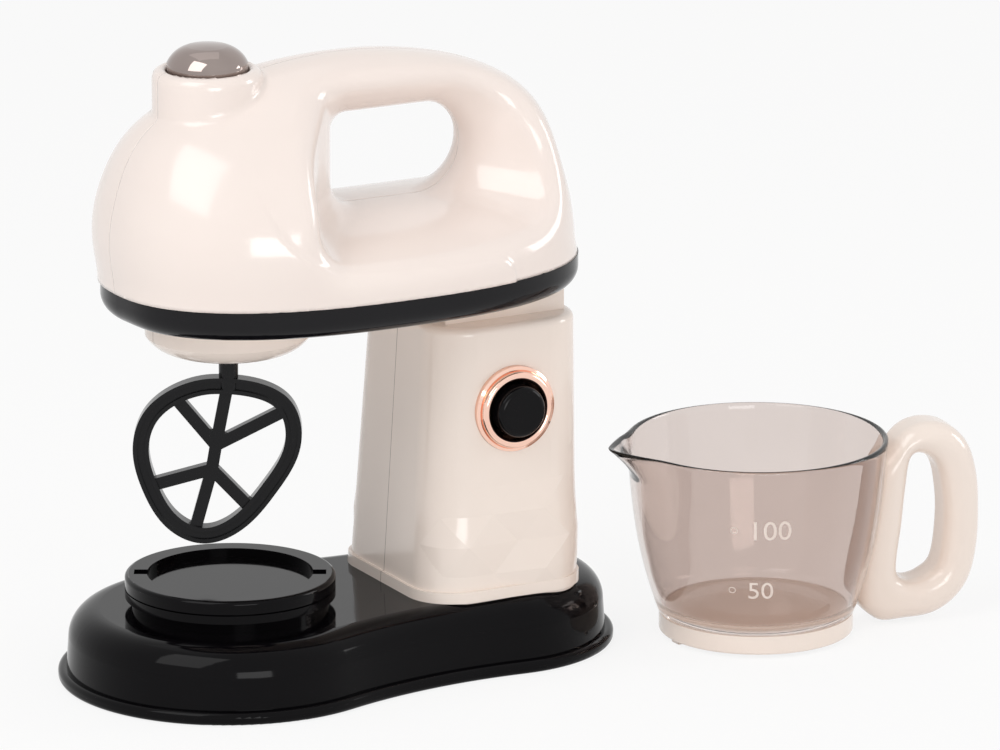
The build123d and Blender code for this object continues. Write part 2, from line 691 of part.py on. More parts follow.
SIDE_CAP_Y = BEZEL_SLEEVE_Y + 0.4
with BuildPart() as side_button:
    with BuildSketch(Plane.XZ.offset(-SIDE_CAP_Y)):
        with Locations((SIDE_X, SIDE_Z)):
            Circle(SIDE_BUTTON_R)
    extrude(amount=SIDE_CAP_Y - SIDE_BUTTON_Y)
    fillet(side_button.edges().group_by(Axis.Y)[0], 2.0)
    with BuildSketch(Plane.XZ.offset(-SIDE_CAP_Y)):
        with Locations((SIDE_X, SIDE_Z)):
            Circle(SIDE_BUTTON_R - 1.6)
            Circle(SIDE_STEM_R + 1.4, mode=Mode.SUBTRACT)
    extrude(amount=SIDE_CAP_Y - SIDE_BUTTON_Y - 2.6, mode=Mode.SUBTRACT)
    with BuildSketch(Plane.XZ.offset(-SIDE_CAP_Y)):
        with Locations((SIDE_X, SIDE_Z)):
            Circle(BORE_R + 1.3)
            Circle(SIDE_BUTTON_R - 1.6, mode=Mode.SUBTRACT)
    extrude(amount=-1.2)
    with BuildSketch(Plane.XZ.offset(-SIDE_CAP_Y)):
        with Locations((SIDE_X, SIDE_Z)):
            Rectangle(3 + 2 * SEAT_GAP, 3 + 2 * SEAT_GAP)
    extrude(amount=6, mode=Mode.SUBTRACT)
keep(side_button, "side_button")

SWITCH_SIZE = 8.5
SWITCH_FACE_Y = -14.0
SWITCH_DEPTH = 9.0
with BuildPart() as power_switch:
    with BuildSketch(Plane.XZ.offset(-SWITCH_FACE_Y)):
        with Locations((SIDE_X, SIDE_Z)):
            Rectangle(SWITCH_SIZE, SWITCH_SIZE)
    extrude(amount=-SWITCH_DEPTH)
    chamfer(power_switch.edges().filter_by(Axis.Y), 0.5)
    with BuildSketch(Plane.XZ.offset(-SWITCH_FACE_Y)):
        with Locations((SIDE_X, SIDE_Z)):
            Rectangle(3.4, 3.4)
    extrude(amount=-5.5, mode=Mode.SUBTRACT)
    with BuildSketch(Plane.XZ.offset(-SWITCH_FACE_Y - SWITCH_DEPTH)):
        with Locations((SIDE_X, SIDE_Z)):
            with GridLocations(5, 3, 2, 3):
                Rectangle(0.6, 0.8)
    extrude(amount=-3)
keep(power_switch, "power_switch")

# Stem of the side switch: it rides with the cap
with BuildPart() as side_switch_stem:
    with BuildSketch(Plane.XZ.offset(-SWITCH_FACE_Y - 5.5 + SIDE_TRAVEL + 0.3)):
        with Locations((SIDE_X, SIDE_Z)):
            Rectangle(3, 3)
    extrude(amount=-SIDE_CAP_Y + 5.9 - (-SWITCH_FACE_Y - 5.5 + SIDE_TRAVEL + 0.3))
keep(side_switch_stem, "side_switch_stem")

# Bracket that holds the side switch on the left half of the column
with BuildPart() as switch_bracket:
    with BuildSketch(Plane.XZ.offset(-SWITCH_FACE_Y)):
        with Locations((SIDE_X, SIDE_Z)):
            Rectangle(20, 14)
            Rectangle(SWITCH_SIZE + 0.1, SWITCH_SIZE + 0.1, mode=Mode.SUBTRACT)
    extrude(amount=-3)
    for end in (1, -1):
        with BuildSketch(Plane.XZ.offset(-SWITCH_FACE_Y)):
            with Locations((SIDE_X + end * 11.7, SIDE_Z)):
                Rectangle(2.4, 14)
        extrude(amount=-BEZEL_SLEEVE_Y + SWITCH_FACE_Y)
        with BuildSketch(Plane.XZ.offset(-SWITCH_FACE_Y)):
            with Locations((SIDE_X + end * 11.4, SIDE_Z)):
                Rectangle(3.0, 14)
        extrude(amount=-3)
keep(switch_bracket, "switch_bracket")

# Black band round the foot of the head
COVER_Z = BAND_BOTTOM_Z + 0.5
COVER_TOP_Z = COVER_Z + COVER_THICK
LUGS = [(10.0, 38.8), (74.8, 37.2), (-21.6, 24.4)]
LUG_PLACES = [(x, side * y) for x, y in LUGS for side in (1, -1)]
LUG_R = 6.0
LUG_PAD_R = 3.4
RIM_INSET = BAND_EDGE_R + 2.0
TONGUE_H = 3.0
SLOT_FRONT_X = HINGE_X - HINGE_R - 1.4
SLOT_REAR_X = HINGE_X + HINGE_R + 1.9
NOTCH_X = HINGE_X + HINGE_R + 5.4
NOTCH_HALF = NECK_HALF + 0.9
TONGUE_INSET = WALL + 0.9
TONGUE_WALL = 1.4
EAR_R = 7.0
EAR_FOOT = 11.0
EAR_HEEL = 1.5


def band_slab(inset, low_z, top_z):
    """A plate with the band's outline, drawn in by inset."""
    half = dome_outline(HEAD_STATIONS[0], BAND_INSET + inset)
    other = [(x, -y) for x, y in half[-2:0:-1]]
    with BuildPart() as shape:
        with BuildSketch(Plane.XY.offset(low_z)):
            with BuildLine():
                Spline(*half, *other, periodic=True)
            make_face()
        extrude(amount=top_z - low_z)
    return shape.part


with BuildPart() as neck_room:
    with BuildSketch(Plane.XZ):
        with BuildLine():
            Polyline(
                (SLOT_FRONT_X, BAND_BOTTOM_Z - 5),
                (NOTCH_X + 2.6, BAND_BOTTOM_Z - 5),
                (SLOT_REAR_X, HINGE_Z),
                (SLOT_REAR_X, HEAD_Z + 5),
                (SLOT_FRONT_X, HEAD_Z + 5),
                close=True,
            )
        make_face()
    extrude(amount=NOTCH_HALF, both=True)

with BuildPart() as ear_room:
    with BuildSketch(Plane.XY.offset(COVER_TOP_Z - CLEARANCE)):
        with Locations((HINGE_X - EAR_FOOT, 0)):
            Rectangle(
                EAR_FOOT + EAR_R + CLEARANCE,
                2 * (EAR_Y + EAR_THICK + CLEARANCE),
                align=(Align.MIN, Align.CENTER),
            )
    extrude(amount=2 * HINGE_R)

with BuildPart() as band_whole:
    add(band_slab(0, BAND_BOTTOM_Z, HEAD_Z))
    fillet(band_whole.faces().sort_by(Axis.Z)[0].edges(), BAND_EDGE_R)
    add(band_slab(TONGUE_INSET, HEAD_Z - 1, HEAD_Z + TONGUE_H))
    add(band_slab(TONGUE_INSET + TONGUE_WALL, COVER_TOP_Z, HEAD_Z + 2 * TONGUE_H), mode=Mode.SUBTRACT)
    add(band_slab(RIM_INSET, BAND_BOTTOM_Z - TONGUE_H, COVER_TOP_Z + TONGUE_H), mode=Mode.SUBTRACT)
    with Locations(*[(x, y, COVER_Z) for x, y in LUG_PLACES]):
        Cylinder(LUG_PAD_R, COVER_THICK, align=ON_TOP)
    add(neck_room.part, mode=Mode.SUBTRACT)
    add(ear_room.part, mode=Mode.SUBTRACT)
    with Locations(*[(x, y, COVER_Z) for x, y in LUG_PLACES]):
        Cylinder(SCREW_R + SEAT_GAP, 4 * COVER_THICK, mode=Mode.SUBTRACT)

with BuildPart() as band_left:
    add(band_whole.part)
    split(bisect_by=Plane.XZ, keep=Keep.TOP)
keep(band_left, "band_left")

with BuildPart() as band_right:
    add(band_whole.part)
    split(bisect_by=Plane.XZ, keep=Keep.BOTTOM)
keep(band_right, "band_right")

# Cover under the head, with the ears of the hinge, posts for the gear plate and lugs on the band
GEAR_CENTRE = GEAR_MODULUS * (SPINDLE_TEETH + SMALL_TEETH) / 2
MOTOR_CENTRE = GEAR_MODULUS * (WHEEL_TEETH + PINION_TEETH) / 2
WHEEL_X = GEAR_CENTRE * cos(radians(WHEEL_ANGLE))
WHEEL_Y = GEAR_CENTRE * sin(radians(WHEEL_ANGLE))
MOTOR_X = WHEEL_X + MOTOR_CENTRE * cos(radians(MOTOR_ANGLE))
MOTOR_Y = WHEEL_Y + MOTOR_CENTRE * sin(radians(MOTOR_ANGLE))
POSTS = [(-24, -17), (20, -18), (20, 18), (-14, 24.6)]
DOME_SCREWS = [(20.6 * cos(radians(a)), 20.6 * sin(radians(a))) for a in (30, 100, 250, 320)]

with BuildPart() as cover_lugs:
    with Locations(*[(x, y, COVER_TOP_Z) for x, y in LUG_PLACES]):
        Cylinder(LUG_R, COVER_THICK, align=ON_TOP)
    lug_room = band_slab(TONGUE_INSET + TONGUE_WALL + SEAT_GAP, COVER_Z, HEAD_Z)
    add(lug_room, mode=Mode.INTERSECT)

with BuildPart() as head_cover:
    add(band_slab(RIM_INSET + SEAT_GAP, COVER_Z, COVER_TOP_Z))
    with Locations(*[(x, y, COVER_Z) for x, y in LUG_PLACES]):
        Cylinder(LUG_PAD_R + SEAT_GAP, COVER_THICK, align=ON_TOP, mode=Mode.SUBTRACT)
    add(cover_lugs.part)
    with BuildSketch(Plane.XY.offset(COVER_Z)):
        Circle(16.5)
        with Locations((WHEEL_X, WHEEL_Y)):
            Circle(6.0)
    extrude(amount=COVER_THICK, mode=Mode.SUBTRACT)
    add(neck_room.part, mode=Mode.SUBTRACT)
    for side in (1, -1):
        with BuildSketch(Plane.XZ.offset(side * EAR_Y)):
            with BuildLine():
                ThreePointArc(
                    (HINGE_X + EAR_R, HINGE_Z),
                    (HINGE_X, HINGE_Z + EAR_R),
                    (HINGE_X - EAR_R, HINGE_Z),
                )
                Polyline(
                    (HINGE_X - EAR_R, HINGE_Z),
                    (HINGE_X - EAR_FOOT, COVER_Z),
                    (HINGE_X - EAR_HEEL, COVER_Z),
                    (HINGE_X - EAR_HEEL, COVER_TOP_Z),
                    (HINGE_X + EAR_R, COVER_TOP_Z),
                    (HINGE_X + EAR_R, HINGE_Z),
                )
            make_face()
        extrude(amount=side * EAR_THICK)
    with BuildSketch(Plane.XZ):
        with Locations((HINGE_X, HINGE_Z)):
            Circle(HINGE_PIN_R + RUN_GAP)
    extrude(amount=EAR_Y + 2 * EAR_THICK, both=True, mode=Mode.SUBTRACT)
    with Locations(*[(x, y, COVER_TOP_Z) for x, y in POSTS]):
        Cylinder(SCREW_R + BOSS_WALL, GEAR_PLATE_Z - COVER_TOP_Z, align=ON_TOP)
    with Locations(*[(x, y, COVER_Z + 1) for x, y in POSTS]):
        Cylinder(SCREW_R + SEAT_GAP, GEAR_PLATE_Z, align=ON_TOP, mode=Mode.SUBTRACT)
    with Locations(*[(x, y, COVER_Z) for x, y in DOME_SCREWS + LUG_PLACES]):
        Cylinder(SCREW_R + SEAT_GAP, 9, align=ON_TOP, mode=Mode.SUBTRACT)
keep(head_cover, "head_cover")

with BuildPart() as cover_screws:
    with Locations(*[(x, y, COVER_TOP_Z + COVER_THICK) for x, y in LUG_PLACES]):
        add(screw(COVER_THICK + 1.8))
keep(cover_screws, "cover_screws")

# Gearbox dome under the cover, turned, with bearings for the spindle and the axle
DOME_WALL = 2.0
SPINDLE_R = 4.0
SPINDLE_BOSS_TOP = SPINDLE_GEAR_Z - 0.3
AXLE_FOOT_Z = 107.8


def dome_profile(inset):
    """Half section of the gearbox dome, drawn into the open line."""
    flat = DOME_R - DOME_EDGE_X - inset
    corner = DOME_Z + DOME_EDGE_Z
    side_r = DOME_R - inset
    bottom = DOME_Z + inset
    middle = (flat + DOME_EDGE_X * sin(pi / 4), corner - (corner - bottom) * cos(pi / 4))
    Polyline((flat, bottom), (0, bottom), (0, COVER_Z), (side_r, COVER_Z), (side_r, corner))
    ThreePointArc((side_r, corner), middle, (flat, bottom))


with BuildPart() as dome_hollow:
    with BuildSketch(Plane.XZ):
        with BuildLine():
            dome_profile(DOME_WALL)
        make_face()
    revolve(axis=Axis.Z)

with BuildPart() as gearbox_dome:
    with BuildSketch(Plane.XZ):
        with BuildLine():
            dome_profile(0)
        make_face()
    revolve(axis=Axis.Z)
    add(dome_hollow.part, mode=Mode.SUBTRACT)
    with Locations((0, 0, DOME_Z + 0.5)):
        Cylinder(SPINDLE_R + 2.4, SPINDLE_BOSS_TOP - DOME_Z - 0.5, align=ON_TOP)
    with Locations((0, 0, DOME_Z)):
        Cylinder(SPINDLE_R + RUN_GAP, 9, align=ON_TOP, mode=Mode.SUBTRACT)
    with Locations((WHEEL_X, WHEEL_Y, AXLE_FOOT_Z - 1.4)):
        Cylinder(AXLE_R + 1.5, SPINDLE_GEAR_Z - 1.0 - AXLE_FOOT_Z + 1.0, align=ON_TOP)
    with Locations((WHEEL_X, WHEEL_Y, AXLE_FOOT_Z)):
        Cylinder(AXLE_R + SEAT_GAP, 9, align=ON_TOP, mode=Mode.SUBTRACT)
    with Locations(*[(x, y, COVER_Z) for x, y in DOME_SCREWS]):
        Cylinder(SCREW_R + BOSS_WALL, 8.5, align=UNDER)
        Cylinder(SCREW_R + SEAT_GAP, 7.5, align=UNDER, mode=Mode.SUBTRACT)
keep(gearbox_dome, "gearbox_dome")

with BuildPart() as dome_screws:
    with Locations(*[(x, y, COVER_TOP_Z) for x, y in DOME_SCREWS]):
        add(screw(COVER_THICK + 6.5))
keep(dome_screws, "dome_screws")

# Plate over the gears, with a pocket that holds the motor
MOTOR_Z = GEAR_PLATE_Z + GEAR_PLATE_H
POCKET_H = 7.0
POCKET_WALL = 1.4
SPINDLE_TOP_R = 3.0
with BuildPart() as gear_plate:
    with BuildSketch(Plane.XY.offset(GEAR_PLATE_Z)):
        with Locations((-2.0, 3.5)):
            RectangleRounded(51.0, 49.0, 4.0)
    extrude(amount=GEAR_PLATE_H)
    plate_room = band_slab(TONGUE_INSET + TONGUE_WALL + CLEARANCE, GEAR_PLATE_Z, MOTOR_Z)
    add(plate_room, mode=Mode.INTERSECT)
    with BuildSketch(Plane.XY.offset(MOTOR_Z)):
        with Locations((MOTOR_X, MOTOR_Y)):
            Rectangle(MOTOR_W + 2 * POCKET_WALL, MOTOR_D + 2 * POCKET_WALL)
            Rectangle(MOTOR_W + 2 * SEAT_GAP, MOTOR_D + 2 * SEAT_GAP, mode=Mode.SUBTRACT)
            Rectangle(MOTOR_W + 4 * POCKET_WALL, 7.0, mode=Mode.SUBTRACT)
    extrude(amount=POCKET_H)
    with BuildSketch(Plane.XY.offset(GEAR_PLATE_Z)):
        Circle(SPINDLE_TOP_R + RUN_GAP)
        with Locations((WHEEL_X, WHEEL_Y)):
            Circle(AXLE_R + SEAT_GAP)
        with Locations((MOTOR_X, MOTOR_Y)):
            Circle(MOTOR_BOSS_R + SEAT_GAP)
        with Locations(*POSTS):
            Circle(SCREW_R + SEAT_GAP)
    extrude(amount=GEAR_PLATE_H, mode=Mode.SUBTRACT)
keep(gear_plate, "gear_plate")

with BuildPart() as plate_screws:
    with Locations(*[(x, y, MOTOR_Z) for x, y in POSTS]):
        add(screw(GEAR_PLATE_H + 5.5))
keep(plate_screws, "plate_screws")

with BuildPart() as gear_axle:
    with Locations((WHEEL_X, WHEEL_Y, AXLE_FOOT_Z)):
        Cylinder(AXLE_R, MOTOR_Z - AXLE_FOOT_Z, align=ON_TOP)
keep(gear_axle, "gear_axle")

# Motor: can, end cap, magnets, and the rotor that turns in them
CAN_WALL = 0.8
CAN_TOP_Z = MOTOR_Z + MOTOR_H - 2.0


def motor_outline(inset):
    """The can's section, a circle with two flats, as a sketch about the motor's axis."""
    with BuildSketch() as outline:
        Circle(MOTOR_W / 2 - inset)
        Rectangle(MOTOR_W, MOTOR_D - 2 * inset, mode=Mode.INTERSECT)
    return outline.sketch


with BuildPart() as motor_can:
    with BuildSketch(Plane.XY.offset(MOTOR_Z)):
        with Locations((MOTOR_X, MOTOR_Y)):
            add(motor_outline(0))
    extrude(amount=CAN_TOP_Z - MOTOR_Z)
    with BuildSketch(Plane.XY.offset(MOTOR_Z + CAN_WALL)):
        with Locations((MOTOR_X, MOTOR_Y)):
            add(motor_outline(CAN_WALL))
    extrude(amount=MOTOR_H, mode=Mode.SUBTRACT)
    with Locations((MOTOR_X, MOTOR_Y, MOTOR_Z)):
        Cylinder(MOTOR_BOSS_R, MOTOR_BOSS_H, align=UNDER)
    with Locations((MOTOR_X, MOTOR_Y, MOTOR_Z)):
        Cylinder(SHAFT_R + RUN_GAP, 4 * MOTOR_BOSS_H, mode=Mode.SUBTRACT)
keep(motor_can, "motor_can")

with BuildPart() as motor_end_cap:
    with BuildSketch(Plane.XY.offset(CAN_TOP_Z)):
        with Locations((MOTOR_X, MOTOR_Y)):
            add(motor_outline(0.15))
    extrude(amount=MOTOR_Z + MOTOR_H - CAN_TOP_Z)
    with Locations((MOTOR_X, MOTOR_Y, CAN_TOP_Z)):
        Cylinder(SHAFT_R + RUN_GAP, 2 * MOTOR_H, mode=Mode.SUBTRACT)
    for end in (1, -1):
        with Locations((MOTOR_X + end * 7.0, MOTOR_Y, MOTOR_Z + MOTOR_H)):
            Box(0.6, 2.4, 3.0, align=ON_TOP)
keep(motor_end_cap, "motor_end_cap")

ROTOR_R = 5.6
MAGNET_IN_R = ROTOR_R + 0.5
with BuildPart() as motor_magnets:
    for side in (1, -1):
        with BuildSketch(Plane.XY.offset(MOTOR_Z + 4)):
            with Locations((MOTOR_X, MOTOR_Y)):
                Circle(MOTOR_W / 2 - CAN_WALL - SEAT_GAP)
                Circle(MAGNET_IN_R, mode=Mode.SUBTRACT)
            with Locations((MOTOR_X + side * MOTOR_W / 2, MOTOR_Y)):
                Rectangle(MOTOR_W, 9.0, mode=Mode.INTERSECT)
        extrude(amount=15)
keep(motor_magnets, "motor_magnets")

with BuildPart() as motor_armature:
    with Locations((MOTOR_X, MOTOR_Y, MOTOR_Z + 4)):
        Cylinder(ROTOR_R, 14, align=ON_TOP)
        with PolarLocations(ROTOR_R, 3):
            Box(2.4, 1.0, 14, align=ON_TOP, mode=Mode.SUBTRACT)
        Cylinder(SHAFT_R + SEAT_GAP, 60, mode=Mode.SUBTRACT)
keep(motor_armature, "motor_armature")

SHAFT_FOOT_Z = WHEEL_GEAR_Z + 0.2
with BuildPart() as motor_shaft:
    with Locations((MOTOR_X, MOTOR_Y, SHAFT_FOOT_Z)):
        Cylinder(SHAFT_R, MOTOR_Z + MOTOR_H + 0.8 - SHAFT_FOOT_Z, align=ON_TOP)
keep(motor_shaft, "motor_shaft")

with BuildPart() as motor_strap:
    for end in (1, -1):
        with Locations((MOTOR_X + end * (MOTOR_W / 2 + 0.1 + 0.6), MOTOR_Y, MOTOR_Z)):
            Box(1.2, 5.0, MOTOR_H + 4.4, align=ON_TOP)
    with Locations((MOTOR_X, MOTOR_Y, MOTOR_Z + MOTOR_H + 3.2)):
        Box(MOTOR_W + 0.2, 5.0, 1.2, align=ON_TOP)
    for side in (1, -1):
        with Locations((MOTOR_X + side * 4.0, MOTOR_Y, MOTOR_Z + MOTOR_H)):
            Box(1.6, 5.0, 3.2, align=ON_TOP)
keep(motor_strap, "motor_strap")

# Gears, turned so that their teeth mesh at rest
PINION_TURN = MOTOR_ANGLE + 180 + 180 / PINION_TEETH
with BuildPart() as motor_pinion:
    with BuildSketch(Plane.XY.offset(WHEEL_GEAR_Z)):
        with Locations((MOTOR_X, MOTOR_Y)):
            Polygon(*gear_face_points(PINION_TEETH, PINION_TURN), align=None)
            Circle(SHAFT_R + SEAT_GAP, mode=Mode.SUBTRACT)
    extrude(amount=GEAR_PLATE_Z - 1.1 - WHEEL_GEAR_Z)
keep(motor_pinion, "motor_pinion")

SMALL_GEAR_Z = SPINDLE_GEAR_Z - 0.5
with BuildPart() as reduction_gear:
    with BuildSketch(Plane.XY.offset(WHEEL_GEAR_Z)):
        with Locations((WHEEL_X, WHEEL_Y)):
            Polygon(*gear_face_points(WHEEL_TEETH, MOTOR_ANGLE), align=None)
    extrude(amount=WHEEL_GEAR_H)
    with BuildSketch(Plane.XY.offset(SMALL_GEAR_Z)):
        with Locations((WHEEL_X, WHEEL_Y)):
            Polygon(*gear_face_points(SMALL_TEETH, WHEEL_ANGLE + 180), align=None)
    extrude(amount=WHEEL_GEAR_Z - SMALL_GEAR_Z)
    with Locations((WHEEL_X, WHEEL_Y, SMALL_GEAR_Z)):
        Cylinder(AXLE_R + RUN_GAP, 40, mode=Mode.SUBTRACT)
keep(reduction_gear, "reduction_gear")

SPINDLE_TURN = WHEEL_ANGLE + 180 / SPINDLE_TEETH
SPINDLE_FOOT_Z = DOME_Z + 0.3
with BuildPart() as spindle_gear:
    with BuildSketch(Plane.XY.offset(SPINDLE_GEAR_Z)):
        Polygon(*gear_face_points(SPINDLE_TEETH, SPINDLE_TURN), align=None)
    extrude(amount=SPINDLE_GEAR_H)
    with Locations((0, 0, SPINDLE_FOOT_Z)):
        Cylinder(SPINDLE_R, SPINDLE_GEAR_Z - SPINDLE_FOOT_Z, align=ON_TOP)
    with Locations((0, 0, SPINDLE_GEAR_Z)):
        Cylinder(SPINDLE_R, 11.8, align=ON_TOP)
        Cylinder(SPINDLE_TOP_R, MOTOR_Z - SPINDLE_GEAR_Z, align=ON_TOP)
    with Locations((0, 0, SPINDLE_FOOT_Z)):
        Cylinder(BEATER_PLUG_R + SEAT_GAP, BEATER_PLUG_TOP - SPINDLE_FOOT_Z, align=ON_TOP, mode=Mode.SUBTRACT)
keep(spindle_gear, "spindle_gear")

# Beater: an egg-shaped wheel with two hubs, six spokes and raised borders, on a shaft
BEATER_PLANE = Plane(
    origin=(0, 0, 0),
    x_dir=(cos(radians(BEATER_ANGLE)), sin(radians(BEATER_ANGLE)), 0),
    z_dir=(sin(radians(BEATER_ANGLE)), -cos(radians(BEATER_ANGLE)), 0),
)


def drawn_in(points, inset):
    """Closed outline's points, each moved inward by inset, square to its neighbours."""
    moved = []
    for index, (x, z) in enumerate(points):
        before = points[index - 1]
        after = points[(index + 1) % len(points)]
        along_x = after[0] - before[0]
        along_z = after[1] - before[1]
        share = inset / hypot(along_x, along_z)
        moved.append((x - share * along_z, z + share * along_x))
    return moved


def wheel_face(inset):
    """The beater's outline drawn in by inset, as a sketch."""
    with BuildSketch() as face:
        with BuildLine():
            Spline(*drawn_in(BEATER_OUTLINE, inset), periodic=True)
        make_face()
    return face.sketch


def bar_between(start, end, width):
    """A straight bar with round ends between two points, as a sketch."""
    with BuildSketch() as bar:
        with Locations(((start[0] + end[0]) / 2, (start[1] + end[1]) / 2)):
            turn = degrees(atan2(end[1] - start[1], end[0] - start[0]))
            SlotCenterToCenter(hypot(end[0] - start[0], end[1] - start[1]), width, rotation=turn)
    return bar.sketch


BEATER_BARS = [(BEATER_UPPER_HUB, BEATER_LOWER_HUB)]
BEATER_BARS += [(BEATER_UPPER_HUB, end) for end in BEATER_UPPER_SPOKES]
BEATER_BARS += [(BEATER_LOWER_HUB, end) for end in BEATER_LOWER_SPOKES]
with BuildPart() as beater:
    with BuildSketch(BEATER_PLANE):
        add(wheel_face(0))
        add(wheel_face(BEATER_RIM), mode=Mode.SUBTRACT)
        for start, end in BEATER_BARS:
            add(bar_between(start, end, BEATER_SPOKE))
        add(wheel_face(0), mode=Mode.INTERSECT)
    extrude(amount=BEATER_THICK / 2 - BEATER_RIDGE, both=True)
    for inset in (0, BEATER_RIM - BEATER_BORDER):
        with BuildSketch(BEATER_PLANE):
            add(wheel_face(inset))
            add(wheel_face(inset + BEATER_BORDER), mode=Mode.SUBTRACT)
        extrude(amount=BEATER_THICK / 2, both=True)
    with Locations((0, 0, BEATER_UPPER_SPOKES[1][1] - 3)):
        Cylinder(BEATER_SHAFT_R, SPINDLE_FOOT_Z - BEATER_UPPER_SPOKES[1][1] + 3, align=ON_TOP)
    with Locations((0, 0, SPINDLE_FOOT_Z)):
        Cylinder(BEATER_PLUG_R, BEATER_PLUG_TOP - SPINDLE_FOOT_Z - 0.5, align=ON_TOP)
keep(beater, "beater")

# Head shells: the dome less the handle opening, with the boss, split in the middle
BORE_TOP_R = TOP_BUTTON_R + SLIDE_GAP
CUP_WALL = 2.2
BOSS_ROOT = 9.0
SIDE_BOSS_R = SCREW_HEAD_R + BOSS_WALL
HEAD_SCREWS = [(-27.0, 142.0, 24.0), (5.0, 160.0, 30.0), (100.0, 142.0, 22.0), (99.5, 160.0, 10.0)]
DOME_TOP = HEAD_STATIONS[-1][0]
window = window_cut(0)
window_wall = window_cut(WALL)

with BuildPart() as boss:
    with Locations((BOSS_X, 0, BOSS_FLOOR_Z - BOSS_ROOT)):
        Cylinder(BOSS_R, BOSS_TOP_Z - BOSS_FLOOR_Z + BOSS_ROOT, align=ON_TOP)
    fillet(boss.edges().sort_by(Axis.Z)[-1], BOSS_EDGE_R)
    split(bisect_by=Plane.XZ, keep=Keep.BOTTOM)

with BuildPart() as button_cup:
    with Locations((BOSS_X, 0, BOSS_FLOOR_Z - CUP_WALL)):
        Cylinder(BORE_TOP_R + CUP_WALL, CUP_WALL + 8, align=ON_TOP)
    split(bisect_by=Plane.XZ, keep=Keep.BOTTOM)

with BuildPart() as head_outer:
    add(dome_half(0))
    add(boss.part)
    add(window, mode=Mode.SUBTRACT)

with BuildPart() as head_cavity:
    add(dome_half(WALL, (DOME_TOP - WALL) / DOME_TOP))
    add(window_wall, mode=Mode.SUBTRACT)

with BuildPart() as head_extras:
    with BuildSketch(Plane.XZ):
        with Locations(*[(x, z) for x, z, y in HEAD_SCREWS]):
            Circle(SIDE_BOSS_R)
    extrude(amount=-HEAD_HALF)
    add(head_outer.part, mode=Mode.INTERSECT)
    add(button_cup.part)

with BuildPart() as head_half:
    add(head_outer.part)
    add(head_cavity.part, mode=Mode.SUBTRACT)
    add(head_extras.part)
    with Locations((BOSS_X, 0, BOSS_FLOOR_Z)):
        Cylinder(BORE_TOP_R, 40, align=ON_TOP, mode=Mode.SUBTRACT)
    with Locations((BOSS_X, 0, BOSS_FLOOR_Z)):
        Cylinder(TOP_STEM_R + SLIDE_GAP, 20, mode=Mode.SUBTRACT)
    with BuildSketch(Plane.XZ):
        with Locations(*[(x, z) for x, z, y in HEAD_SCREWS]):
            Circle(SCREW_R + SEAT_GAP)
    extrude(amount=-11, mode=Mode.SUBTRACT)

with BuildPart() as head_left:
    add(on_side(head_half.part, -1))
keep(head_left, "head_left")

with BuildPart() as head_right:
    add(head_half.part)
    for x, z, y in HEAD_SCREWS:
        with BuildSketch(Plane.XZ):
            with Locations((x, z)):
                Circle(SCREW_R + SEAT_GAP)
        extrude(amount=-HEAD_HALF, mode=Mode.SUBTRACT)
        with BuildSketch(Plane.XZ.offset(-y)):
            with Locations((x, z)):
                Circle(SCREW_HEAD_R + 0.3)
        extrude(amount=-HEAD_HALF, mode=Mode.SUBTRACT)
keep(head_right, "head_right")

with BuildPart() as head_screws:
    for x, z, y in HEAD_SCREWS:
        with Locations(Location((x, y, z), (-90, 0, 0))):
            add(screw(y + 9))
keep(head_screws, "head_screws")

# Button on top of the head: a plated cap on a stem that works a switch
CAP_FOOT_Z = BOSS_FLOOR_Z + TOP_BUTTON_TRAVEL + 0.6
CAP_WALL = 1.6
CAP_EDGE_Z = BOSS_TOP_Z + 1.6
CAP_CROWN_R = TOP_BUTTON_R - 6.2
CAP_CROWN_H = 0.5
CROWN_SPHERE_R = (CAP_CROWN_R**2 + CAP_CROWN_H**2) / (2 * CAP_CROWN_H)
SOCKET_R = TOP_STEM_R + SEAT_GAP
SOCKET_TOP_Z = CAP_EDGE_Z + 1.2
with BuildPart() as top_button:
    with BuildSketch(Plane.XZ):
        with BuildLine():
            Polyline(
                (0, TOP_BUTTON_Z),
                (0, SOCKET_TOP_Z),
                (SOCKET_R, SOCKET_TOP_Z),
                (SOCKET_R, CAP_FOOT_Z),
                (SOCKET_R + CAP_WALL, CAP_FOOT_Z),
                (SOCKET_R + CAP_WALL, CAP_EDGE_Z),
                (TOP_BUTTON_R - CAP_WALL, CAP_EDGE_Z),
                (TOP_BUTTON_R - CAP_WALL, CAP_FOOT_Z),
                (TOP_BUTTON_R, CAP_FOOT_Z),
                (TOP_BUTTON_R, CAP_EDGE_Z),
            )
            crown = (CAP_CROWN_R, TOP_BUTTON_Z - CAP_CROWN_H)
            shoulder = (TOP_BUTTON_R - 2.2, TOP_BUTTON_Z - 2.6)
            half_drop = CROWN_SPHERE_R - sqrt(CROWN_SPHERE_R**2 - (CAP_CROWN_R / 2) ** 2)
            ThreePointArc((TOP_BUTTON_R, CAP_EDGE_Z), shoulder, crown)
            ThreePointArc(crown, (CAP_CROWN_R / 2, TOP_BUTTON_Z - half_drop), (0, TOP_BUTTON_Z))
        make_face()
    revolve(axis=Axis.Z)
top_button.part.locate(Location((BOSS_X, 0, 0)))
keep(top_button, "top_button")

